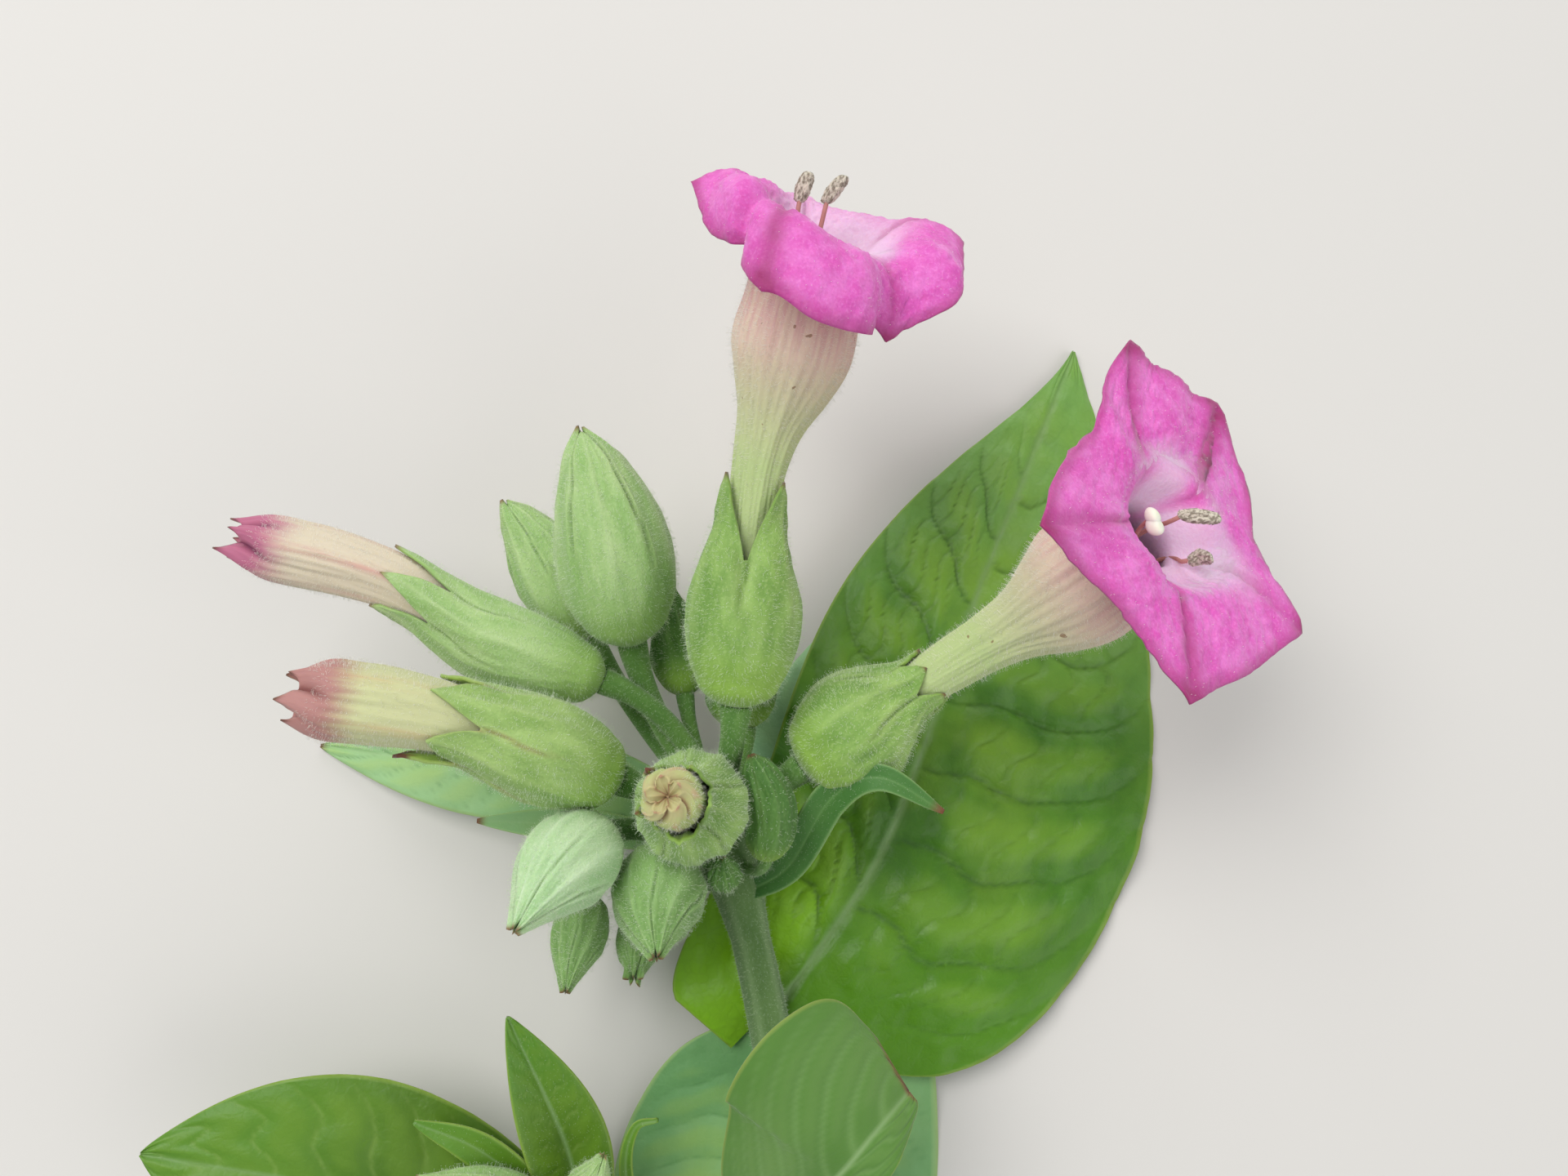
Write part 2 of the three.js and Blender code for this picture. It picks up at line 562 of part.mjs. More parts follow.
// Every stalk is cut clear of the stem and of the stalks before it.
const stalks = [];
function addStalk(name, holder, holderCurve, curve, { root, radius }) {
  const thickness = Math.min(STALK_RADIUS, radius * CALYX_FOOT);
  add(`${name}_stalk`, STEM_GREEN, (grow) => solid(
    stalk(holderCurve, curve, root, thickness, grow),
  ), [holder, ...stalks]);
  stalks.push(`${name}_stalk`);
}

for (const [name, flower] of Object.entries(FLOWERS)) {
  const curve = route(flower.axis);
  addStalk(name, 'stem', stemCurve, curve, flower);
  add(`${name}_calyx`, CALYX_GREEN, (grow) => solid(calyx(curve, flower, grow)));
  add(`${name}_corolla`, COROLLA_PINK, (grow) => solid(corolla(curve, flower, grow)));
  add(`${name}_stamens`, STAMEN_CREAM, () => stamens(curve, flower));
}
for (const [name, opening] of Object.entries(OPENING_BUDS)) {
  const curve = route(opening.axis);
  addStalk(name, 'stem', stemCurve, curve, opening);
  add(`${name}_calyx`, CALYX_GREEN, (grow) => solid(calyx(curve, opening, grow)));
  add(`${name}_corolla`, FURLED_PALE, (grow) => solid(furled(curve, opening, grow)));
}
for (const [name, closed] of Object.entries(BUDS)) {
  const curve = route(closed.axis);
  addStalk(name, 'stem', stemCurve, curve, closed);
  add(name, CALYX_GREEN, (grow) => solid(bud(curve, closed.radius, grow)));
}
for (const [name, closed] of Object.entries(SIDE_BUDS)) {
  const curve = route(closed.axis);
  addStalk(name, 'side_shoot', sideCurve, curve, closed);
  add(name, CALYX_GREEN, (grow) => solid(bud(curve, closed.radius, grow)));
}
for (const [name, leaf] of Object.entries(LEAVES)) {
  add(name, LEAF_GREEN, (grow) => solid(blade(leaf, grow)), leaf.beside);
}

export default plant;
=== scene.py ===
"""Looks of the cut flowering top of a tobacco plant, which lies on its back on a pale floor.

Lengths are millimetres in the shoot's own frame, and they become metres when a mesh is made.
Every piece is a stack of rings round a curve: stems, cups, petals and blades alike.
"""

import logging
import math
from dataclasses import dataclass, field
from enum import Enum
from typing import Any, Optional, Sequence, Union

import bpy
import numpy as np
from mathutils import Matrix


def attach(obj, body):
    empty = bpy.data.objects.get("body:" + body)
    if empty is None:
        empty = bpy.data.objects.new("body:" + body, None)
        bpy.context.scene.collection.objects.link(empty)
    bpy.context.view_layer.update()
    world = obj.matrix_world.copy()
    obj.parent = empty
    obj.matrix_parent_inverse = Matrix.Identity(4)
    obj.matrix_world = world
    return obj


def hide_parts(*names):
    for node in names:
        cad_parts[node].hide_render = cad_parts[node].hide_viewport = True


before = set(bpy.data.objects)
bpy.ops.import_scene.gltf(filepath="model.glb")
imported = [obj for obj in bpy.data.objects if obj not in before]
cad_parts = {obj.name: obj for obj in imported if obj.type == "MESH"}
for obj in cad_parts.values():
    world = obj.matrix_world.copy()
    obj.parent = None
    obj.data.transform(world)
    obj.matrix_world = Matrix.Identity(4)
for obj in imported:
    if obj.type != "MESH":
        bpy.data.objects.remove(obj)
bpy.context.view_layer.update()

log = logging.getLogger("tobacco_top")

Array = np.ndarray
Triple = tuple[float, float, float]
Place = Triple
Colour = Triple
Pairs = Sequence[tuple[float, float]]
Anther = tuple[float, float, float, float, float]

# A millimetre in metres, and the middle of the shoot's box, which comes to the origin.
MM = 0.001
CENTRE = np.array([-7.67, -29.34, 0.0])
UP = np.array([0.0, 0.0, 1.0])
TOP = np.array([0.0, 1.0, 0.0])
# A bloom's teeth or lobes, and how far above the floor of a cup what stands in it starts.
PARTS = 5
GAP = 0.3

# Sizes that the solids have too: the calyx, the bud, the corolla's tube and the blades.
CALYX_BODY = ((0.0, 0.25), (0.03, 0.5), (0.13, 0.78), (0.29, 0.97), (0.5, 1.0))
CALYX_NECK = (0.7, 0.86, 1.0)
CALYX_FLOOR = 0.06
BUD_PROFILE = (
    (0.0, 0.25), (0.05, 0.55), (0.16, 0.84), (0.32, 1.0), (0.48, 0.98),
    (0.64, 0.8), (0.79, 0.52), (0.91, 0.27), (1.0, 0.08),
)
HORNED_PROFILE = (
    (0.0, 0.25), (0.05, 0.55), (0.16, 0.84), (0.32, 1.0), (0.48, 0.98),
    (0.64, 0.83), (0.79, 0.6), (0.91, 0.37), (1.0, 0.07),
)
BLUNT_PROFILE = (
    (0.0, 0.25), (0.05, 0.55), (0.16, 0.84), (0.32, 1.0), (0.5, 1.0),
    (0.68, 0.92), (0.82, 0.74), (0.93, 0.45), (1.0, 0.1),
)
FURLED_PROFILE = ((0.0, 0.5), (0.3, 0.72), (0.55, 0.88), (0.78, 1.0), (0.92, 0.96), (1.0, 0.7))
TUBE_PROFILE = (
    (0.0, 1.4), (0.2, 2.1), (0.38, 2.7), (0.5, 3.0), (0.6, 3.8),
    (0.67, 5.2), (0.74, 6.4), (0.86, 6.3), (1.0, 6.3),
)
THROAT_FLOOR = 0.5
LEAF_TIP = 0.25
WAVES_PER_LEAF = 3


def mix(low: Any, high: Any, share: Any) -> Any:
    """The value at a share of the way from low to high."""
    return low + (high - low) * share


def smooth(value: Any, low: float, high: float) -> Array:
    """0 below low, 1 above high and a smooth step between them."""
    share = np.clip((np.asarray(value, float) - low) / (high - low), 0.0, 1.0)
    return share * share * (3 - 2 * share)


def bump(value: Any, width: float) -> Array:
    """1 where the value is 0, falling smoothly to 0 on both sides within about the width."""
    return np.exp(-((np.asarray(value, float) / width) ** 2))


def rounded(pairs: Pairs, share: Array) -> Array:
    """A smooth line through (share, value) pairs.

    Args:
        pairs: shares in rising order, each with its value.
        share: where to read the line.

    Returns:
        The values at those shares.
    """
    at = np.array([pair[0] for pair in pairs])
    value = np.array([pair[1] for pair in pairs])
    slope = np.gradient(value, at)
    cell = np.clip(np.searchsorted(at, share) - 1, 0, len(at) - 2)
    width = at[cell + 1] - at[cell]
    t = np.clip((share - at[cell]) / width, 0.0, 1.0)
    low = (1 + 2 * t) * (1 - t) ** 2 * value[cell] + t * (1 - t) ** 2 * width * slope[cell]
    high = t * t * (3 - 2 * t) * value[cell + 1] + t * t * (t - 1) * width * slope[cell + 1]
    return low + high


def crinkle(around: Array, along: Array, seed: int, scale: float = 1.0, waves: int = 28) -> Array:
    """Soft random folds, which join up where the way round starts again.

    Args:
        around: the place on the way round, from 0 to 1.
        along: the place along the piece, from 0 to 1.
        seed: what the random waves start from.
        scale: how fine the folds are.
        waves: how many waves are laid over each other.

    Returns:
        Heights of about -1 to 1.
    """
    random = np.random.default_rng(seed)
    total = 0.0
    for _ in range(waves):
        across = random.integers(int(8 * scale), int(70 * scale)) * random.choice([-1, 1])
        phase = 2 * math.pi * (across * around + random.uniform(1, 9) * scale * along + random.random())
        total = total + np.sin(phase)
    return total / math.sqrt(waves)


def dimples(x: Array, z: Array, seed: int, size: float) -> Array:
    """Soft random bumps over a blade.

    Args:
        x: millimetres across it.
        z: millimetres along it.
        seed: what the random waves start from.
        size: the usual distance from one bump to the next, in millimetres.

    Returns:
        Heights of about -1 to 1.
    """
    random = np.random.default_rng(seed)
    waves, total = 24, 0.0
    for _ in range(waves):
        way = random.uniform(0, math.pi)
        turns = random.uniform(0.6, 1.5) / size
        phase = 2 * math.pi * (turns * (x * math.cos(way) + z * math.sin(way)) + random.random())
        total = total + np.sin(phase)
    return total / math.sqrt(waves)


def unit(vectors: Array) -> Array:
    """The vectors at length 1."""
    return vectors / np.maximum(np.linalg.norm(vectors, axis=-1, keepdims=True), 1e-9)


def colour(code: str) -> Colour:
    """A screen colour such as "#aabbcc" as the linear colour that shaders use."""
    parts = [int(code[i:i + 2], 16) / 255 for i in (1, 3, 5)]
    return tuple(p / 12.92 if p <= 0.04045 else ((p + 0.055) / 1.055) ** 2.4 for p in parts)


class Route:
    """A smooth curve through places, with side, front and forward directions all along it."""

    STATIONS = 400
    UPRIGHT = 0.9

    def __init__(self, places: Sequence[Place], facing: Optional[Array] = None) -> None:
        """Samples the curve.

        Args:
            places: the points that the curve passes.
            facing: where its front turns to. Without one, a curve that stands up faces the
                top of the shoot and any other faces up.
        """
        knots = np.array(places, float)
        knots = np.vstack([2 * knots[0] - knots[1], knots, 2 * knots[-1] - knots[-2]])
        t = np.linspace(0, len(places) - 1, self.STATIONS + 1)
        i = np.minimum(t.astype(int), len(places) - 2)
        w = (t - i)[:, None]
        a, b, c, d = (knots[i + k] for k in range(4))
        bend = (2 * a - 5 * b + 4 * c - d) * w ** 2
        line = 0.5 * (2 * b + (c - a) * w + bend + (3 * (b - c) + d - a) * w ** 3)
        steps = np.linalg.norm(np.diff(line, axis=0), axis=1)
        run = np.concatenate([[0], np.cumsum(steps)])
        self.length = float(run[-1])
        self.run = np.linspace(0, self.length, self.STATIONS + 1)
        self.centre = self._read(run, line, self.run)
        self.forward = unit(np.gradient(self.centre, axis=0))
        if facing is None:
            facing = TOP if abs(self.forward[0][2]) > self.UPRIGHT else UP
        turned = facing - self.forward * (self.forward @ facing)[:, None]
        self.front = unit(turned)
        self.side = np.cross(self.front, self.forward)

    @staticmethod
    def _read(run: Array, rows: Array, at: Array) -> Array:
        """Rows of vectors read at other distances."""
        return np.stack([np.interp(at, run, rows[:, k]) for k in range(3)], axis=-1)

    def wrap(self, x: Array, y: Array, z: Array) -> Array:
        """Bends straight coordinates round the curve.

        Args:
            x: millimetres to the side.
            y: millimetres to the front.
            z: millimetres along the curve. What lies past an end goes straight on.

        Returns:
            The places in the shoot's frame.
        """
        x, y, z = np.broadcast_arrays(x, y, z)
        at = np.clip(z, 0, self.length)
        place = self._read(self.run, self.centre, at)
        forward = self._read(self.run, self.forward, at)
        side = self._read(self.run, self.side, at)
        front = self._read(self.run, self.front, at)
        return place + side * x[..., None] + front * y[..., None] + forward * (z - at)[..., None]


@dataclass
class Rings:
    """A stack of closed rings: its places, and the marks that its finish reads.

    Args:
        places: rows by columns by 3, in millimetres.
        marks: for each name, rows by columns of numbers, or of vectors.
        hairy: how many of the first rows may grow hairs.
    """

    places: Array
    marks: dict[str, Array]
    hairy: int = 0

    @classmethod
    def along(
        cls, route: Route, x: Array, y: Array, z: Array, marks: dict[str, Any], hairy: int,
    ) -> "Rings":
        """Bends straight rings round a route.

        Args:
            route: the curve.
            x: millimetres to the side.
            y: millimetres to the front.
            z: millimetres along the route.
            marks: for each name, numbers for all places, for the rows or for the columns.
            hairy: how many of the first rows may grow hairs.

        Returns:
            The bent rings, which carry their straight places as a mark too.
        """
        x, y, z = np.broadcast_arrays(x, y, z)
        full = {name: np.broadcast_to(values, x.shape) for name, values in marks.items()}
        return cls(route.wrap(x, y, z), {"straight": np.stack([x, y, z], -1), **full}, hairy)


class Piece:
    """Gathers ring stacks and loose faces into one mesh object."""

    def __init__(self, name: str) -> None:
        """Starts an empty piece.

        Args:
            name: the name of the object.
        """
        self.name = name
        self.places: list[Array] = []
        self.faces: list[Array] = []
        self.marks: dict[str, list[Array]] = {}
        self.count = 0

    @classmethod
    def dress(cls, name: str, rings: Rings, finish: "Finish", slot: str, node: str) -> None:
        """Makes the object of one ring stack, which stands for one solid."""
        piece = cls(name)
        piece.add_rings(rings)
        piece.build(finish, slot, [node])

    def _take(self, places: Array, marks: dict[str, Array]) -> int:
        """Adds vertices with their marks and returns the first one's number."""
        first = self.count
        self.places.append(places)
        for mark, values in marks.items():
            self.marks.setdefault(mark, []).append(values)
        self.count += len(places)
        return first

    def add_rings(self, rings: Rings) -> None:
        """Adds a ring stack, closed with a flat face at both ends."""
        rows, columns = rings.places.shape[:2]
        flat = {k: v.reshape(rows * columns, *v.shape[2:]) for k, v in rings.marks.items()}
        first = self._take(rings.places.reshape(-1, 3), flat)
        at = first + np.arange(rows * columns).reshape(rows, columns)
        after = np.roll(at, -1, axis=1)
        quads = np.stack([at[:-1], after[:-1], after[1:], at[1:]], axis=-1)
        self.faces.append(quads.reshape(-1, 4))
        self.faces.append(at[0][::-1][None])
        self.faces.append(at[-1][None])

    def add_faces(self, places: Array, faces: Array, marks: dict[str, Array]) -> None:
        """Adds loose faces, whose corners are numbered from 0."""
        first = self._take(places, marks)
        self.faces.append(faces + first)

    def build(self, finish: "Finish", slot: str, nodes: Sequence[str] = ()) -> bpy.types.Object:
        """Makes the mesh object, hangs it on the root and hides the solids that it stands for.

        Args:
            finish: the material.
            slot: not used.
            nodes: the solids that it stands for.

        Returns:
            The new object.
        """
        mesh = bpy.data.meshes.new(self.name)
        places = (np.concatenate(self.places) - CENTRE) * MM
        corners = np.concatenate([part.ravel() for part in self.faces])
        sizes = np.concatenate([np.full(len(part), part.shape[1]) for part in self.faces])
        starts = np.concatenate([[0], np.cumsum(sizes)[:-1]]).astype(np.int32)
        mesh.vertices.add(len(places))
        mesh.vertices.foreach_set("co", places.ravel())
        mesh.loops.add(len(corners))
        mesh.loops.foreach_set("vertex_index", corners.astype(np.int32))
        mesh.polygons.add(len(sizes))
        mesh.polygons.foreach_set("loop_start", starts)
        mesh.update(calc_edges=True)
        mesh.polygons.foreach_set("use_smooth", np.ones(len(sizes), bool))
        for mark, values in self.marks.items():
            together = np.concatenate(values)
            kind, key = ("FLOAT", "value") if together.ndim == 1 else ("FLOAT_VECTOR", "vector")
            mesh.attributes.new(mark, kind, "POINT").data.foreach_set(key, together.ravel())
        mesh.materials.append(finish.material())
        piece = bpy.data.objects.new(self.name, mesh)
        bpy.context.scene.collection.objects.link(piece)
        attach(piece, "root")
        if nodes:
            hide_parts(*nodes)
        log.info("%s: %d faces", self.name, len(sizes))
        return piece


class Wire:
    """A value in a shader, so that expressions in Python add its Math nodes."""

    def __init__(self, shader: "Shader", socket: bpy.types.NodeSocket) -> None:
        """Wraps an output socket of the shader's."""
        self.shader = shader
        self.socket = socket

    def _math(self, operation: str, first: "Source", second: "Source") -> "Wire":
        """A Math node on two values."""
        return self.shader.node("ShaderNodeMath", {"operation": operation}, {0: first, 1: second})

    def __add__(self, other: "Source") -> "Wire":
        """self + other."""
        return self._math("ADD", self, other)

    def __radd__(self, other: "Source") -> "Wire":
        """other + self."""
        return self._math("ADD", other, self)

    def __sub__(self, other: "Source") -> "Wire":
        """self - other."""
        return self._math("SUBTRACT", self, other)

    def __rsub__(self, other: "Source") -> "Wire":
        """other - self."""
        return self._math("SUBTRACT", other, self)

    def __mul__(self, other: "Source") -> "Wire":
        """self * other."""
        return self._math("MULTIPLY", self, other)

    def __rmul__(self, other: "Source") -> "Wire":
        """other * self."""
        return self._math("MULTIPLY", other, self)

    def step(self, low: float, high: float) -> "Wire":
        """0 below low, 1 above high and a smooth step between them."""
        settings = {"interpolation_type": "SMOOTHSTEP"}
        return self.shader.node("ShaderNodeMapRange", settings, {0: self, 1: low, 2: high})


Source = Union[Wire, float, str, Sequence[float]]


class Shader:
    """Builds one material's nodes."""

    def __init__(self, name: str) -> None:
        """Starts a material with only its output and one main shader."""
        self.data = bpy.data.materials.new(name)
        self.data.use_nodes = True
        self.tree = self.data.node_tree
        self.main = next(n for n in self.tree.nodes if n.type == "BSDF_PRINCIPLED")

    def node(
        self, kind: str, settings: dict[str, Any], inputs: dict[Any, Source], output: Any = 0,
    ) -> Wire:
        """Adds a node.

        Args:
            kind: the node's type.
            settings: its properties. "stops" are a colour ramp's (place, colour) pairs.
            inputs: for each socket, by number or name, a value or a wire.
            output: the socket that is wanted back.

        Returns:
            That output as a wire.
        """
        made = self.tree.nodes.new(kind)
        for key, value in settings.items():
            if key == "stops":
                self._set_stops(made.color_ramp, value)
            else:
                setattr(made, key, value)
        for key, source in inputs.items():
            self.feed(made.inputs[key], source)
        return Wire(self, made.outputs[output])

    @staticmethod
    def _set_stops(ramp: bpy.types.ColorRamp, stops: Sequence[tuple[float, str]]) -> None:
        """Gives a colour ramp its stops."""
        while len(ramp.elements) < len(stops):
            ramp.elements.new(0.5)
        for element, (place, code) in zip(ramp.elements, stops):
            element.position = place
            element.color = (*colour(code), 1.0)

    def feed(self, socket: bpy.types.NodeSocket, source: Source) -> None:
        """Links a wire to a socket, or sets its value: a number, numbers or a screen colour."""
        if isinstance(source, Wire):
            self.tree.links.new(source.socket, socket)
        elif isinstance(source, (int, float)):
            socket.default_value = source
        else:
            numbers = colour(source) if isinstance(source, str) else source
            socket.default_value = (*numbers, 1.0)[:len(socket.default_value)]

    def mark(self, name: str) -> Wire:
        """A number that the mesh's points carry."""
        return self.node("ShaderNodeAttribute", {"attribute_name": name}, {}, "Fac")

    def pattern(self, scale: Triple) -> Wire:
        """The piece's own straight coordinates in millimetres, scaled along each axis."""
        place = self.node("ShaderNodeAttribute", {"attribute_name": "straight"}, {}, "Vector")
        return self.node("ShaderNodeVectorMath", {"operation": "MULTIPLY"}, {0: place, 1: scale})

    def noise(self, scale: Triple, detail: float = 3.0, roughness: float = 0.55) -> Wire:
        """Soft random blotches, from 0 to 1, about one for each millimetre at scale 1."""
        place = self.pattern(scale)
        sockets = {"Vector": place, "Scale": 1.0, "Detail": detail, "Roughness": roughness}
        return self.node("ShaderNodeTexNoise", {}, sockets, "Fac")

    def cells(self, scale: Triple) -> Wire:
        """The distance to the edge of the nearest random cell."""
        settings = {"feature": "DISTANCE_TO_EDGE"}
        sockets = {"Vector": self.pattern(scale), "Scale": 1.0}
        return self.node("ShaderNodeTexVoronoi", settings, sockets)

    def blend(self, factor: Source, low: Source, high: Source) -> Wire:
        """A colour between two colours."""
        return self.node("ShaderNodeMix", {"data_type": "RGBA"}, {0: factor, 6: low, 7: high}, 2)

    def layers(self, lowest: Source, coats: Sequence[tuple[Source, str]]) -> Source:
        """Lays colours over each other.

        Args:
            lowest: the colour under them.
            coats: how much each one covers, and its screen colour.

        Returns:
            The colour that comes out.
        """
        for factor, code in coats:
            lowest = self.blend(factor, lowest, code)
        return lowest

    def ramp(self, factor: Wire, stops: Sequence[tuple[float, str]]) -> Wire:
        """A colour read from stops, which are places with their screen colours."""
        return self.node("ShaderNodeValToRGB", {"stops": stops}, {0: factor}, "Color")

    def surface(self, skin: Source) -> None:
        """Gives the surface its colour."""
        self.feed(self.main.inputs["Base Color"], skin)

    def relief(self, height: Wire, depth: float) -> None:
        """Raises the surface by a height from 0 to 1, up to a depth in millimetres."""
        sockets = {"Height": height, "Distance": depth * MM, "Strength": 1.0}
        self.feed(self.main.inputs["Normal"], self.node("ShaderNodeBump", {}, sockets))


@dataclass(frozen=True)
class Finish:
    """What a surface is made of.

    Args:
        name: the material's name.
        roughness: how dull it is.
        depth: how much light goes into it, from 0 to 1.
        sheen: how much its fine down shines.
    """

    name: str
    roughness: float = 0.6
    depth: float = 0.25
    sheen: float = 0.0
    SCATTER = (1.0, 0.9, 0.5)
    SCATTER_REACH = 0.6
    SHEEN_ROUGHNESS = 0.5
    SPECULAR = 0.35

    def material(self) -> bpy.types.Material:
        """The material, made once."""
        if self.name in bpy.data.materials:
            return bpy.data.materials[self.name]
        shader = Shader(self.name)
        values = {
            "Roughness": self.roughness,
            "Subsurface Weight": self.depth,
            "Subsurface Radius": self.SCATTER,
            "Subsurface Scale": self.SCATTER_REACH * MM,
            "Sheen Weight": self.sheen,
            "Sheen Roughness": self.SHEEN_ROUGHNESS,
            "Specular IOR Level": self.SPECULAR,
        }
        for socket, value in values.items():
            shader.main.inputs[socket].default_value = value
        self.paint(shader)
        return shader.data

    def paint(self, shader: Shader) -> None:
        """Gives the shader its colours and its relief."""
        raise NotImplementedError


@dataclass(frozen=True)
class PlainFinish(Finish):
    """One plain colour, for hairs and other tiny joined things.

    Args:
        shade: the colour.
    """

    shade: str = "#ffffff"

    def paint(self, shader: Shader) -> None:
        """Sets the one colour."""
        shader.surface(self.shade)


@dataclass(frozen=True)
class DownyFinish(Finish):
    """Stem or calyx skin: mottled green with paler ribs, dark seams and brown points.

    Args:
        base: the usual colour.
        deep: its darker blotches.
        pale: its grain and ribs.
        foot: the bloom's foot, or the stem's pith.
        seam: where two teeth meet.
        point: the teeth's dry tips.
        streak: how much of the pale grain shows.
    """

    base: str = "#98bb62"
    deep: str = "#6d9540"
    pale: str = "#c0d68f"
    foot: str = "#93b845"
    seam: str = "#56702a"
    point: str = "#6b3f2c"
    streak: float = 0.35
    CLOUDS = (0.35, 0.35, 0.12)
    GRAIN = (3.4, 3.4, 3.4)
    DOTS = (2.6, 2.6, 2.6)
    RELIEF = 0.06

    def paint(self, shader: Shader) -> None:
        """Mixes mottling, ribs, seams, foot and points."""
        clouds = shader.noise(self.CLOUDS, 4.0)
        grain = shader.noise(self.GRAIN, 2.0)
        dots = shader.cells(self.DOTS).step(0.02, 0.3)
        mottled = shader.blend(clouds.step(0.3, 0.72), self.deep, self.base)
        shader.surface(shader.layers(mottled, (
            (grain.step(0.45, 0.8) * self.streak, self.pale),
            (shader.mark("rib") * 0.6, self.pale),
            (shader.mark("foot") * 0.7, self.foot),
            (shader.mark("seam") * (0.3 + clouds * 0.4), self.seam),
            (shader.mark("point"), self.point),
        )))
        shader.relief(grain * 0.7 + dots * 0.3, self.RELIEF)


@dataclass(frozen=True)
class PetalFinish(Finish):
    """An open corolla: a green foot, a cream tube with streaks and a bright spread limb.

    Args:
        foot: the tube's green foot.
        tube: its upper part.
        flush: its pink streaks.
        limb: the lobes.
        light: their light clouds and grain.
        dark: their dark grain and edges, and painted shade in their creases.
        throat: the pale throat.
        speck: the tube's few brown specks.
    """

    foot: str = "#bacb8c"
    tube: str = "#dfcdb4"
    flush: str = "#c88e94"
    limb: str = "#dc58b6"
    light: str = "#f59adf"
    dark: str = "#a12d6e"
    throat: str = "#eacbe2"
    speck: str = "#7d5330"
    STREAKS = (1.6, 1.6, 0.07)
    CLOUDS = (0.4, 0.4, 0.4)
    GRAIN = (3.6, 3.6, 3.6)
    SPECKS = (1.1, 1.1, 1.1)
    RELIEF = 0.1

    def paint(self, shader: Shader) -> None:
        """Mixes the tube's streaks with the limb's pale throat and painted shade in its folds."""
        along = shader.mark("along")
        streaks = shader.noise(self.STREAKS, 3.0)
        clouds = shader.noise(self.CLOUDS, 3.0)
        grain = shader.noise(self.GRAIN, 2.0)
        specks = shader.noise(self.SPECKS, 0.0).step(0.84, 0.86)
        cream = shader.ramp(along, ((0.0, self.foot), (0.5, self.foot), (0.76, self.tube)))
        tube = shader.layers(cream, (
            ((0.3 + streaks.step(0.36, 0.66) * 0.6) * along.step(0.6, 0.95), self.flush),
            (specks * 0.7, self.speck),
        ))
        limb = shader.layers(self.limb, (
            (clouds.step(0.35, 0.68) * 0.4, self.light),
            (grain.step(0.5, 0.72) * 0.35, self.light),
            ((1.0 - grain.step(0.3, 0.48)) * 0.15, self.dark),
            (shader.mark("blush") * (0.72 + grain * 0.4), self.throat),
            # Painted shade in each lobe's crease, and the limb's darker edge.
            (shader.mark("fold") * (0.5 + clouds), self.dark),
        ))
        shader.surface(shader.blend(shader.mark("limb"), tube, limb))
        shader.relief(grain * 0.6 + streaks * 0.4, self.RELIEF)


@dataclass(frozen=True)
class FurledFinish(Finish):
    """A furled corolla: a cream tube with ridges and pink points, and painted shade in its folds.

    Args:
        tube: the tube's front.
        under: its underside.
        ridge: its ridges.
        tip: the lobes' ends.
        fold: painted shade in the folds between them and in the hollow inside.
        point: their dry points.
        reach: the share of the length at which the ends' colour starts.
    """

    tube: str = "#d8cbb2"
    under: str = "#a8a066"
    # Painted light on the base's left corner, which the stem and buds shade.
    ridge: str = "#cf9c92"
    tip: str = "#b96a86"
    fold: str = "#6a2446"
    point: str = "#5a3422"
    reach: float = 0.84
    STREAKS = (1.4, 1.4, 0.08)
    FADE = 0.13
    RELIEF = 0.1

    def paint(self, shader: Shader) -> None:
        """Mixes the tube, its green underside, ridges, tips and painted shade in the folds."""
        streaks = shader.noise(self.STREAKS, 3.0)
        ragged = shader.mark("along") + streaks * 0.08
        shader.surface(shader.layers(self.tube, (
            (shader.mark("under"), self.under),
            (shader.mark("rib") * streaks.step(0.3, 0.7), self.ridge),
            (ragged.step(self.reach, self.reach + self.FADE), self.tip),
            # Painted shade in the folds between the lobes and in the hollow inside them.
            (shader.mark("seam"), self.fold),
            (shader.mark("point"), self.point),
        )))
        shader.relief(streaks, self.RELIEF)


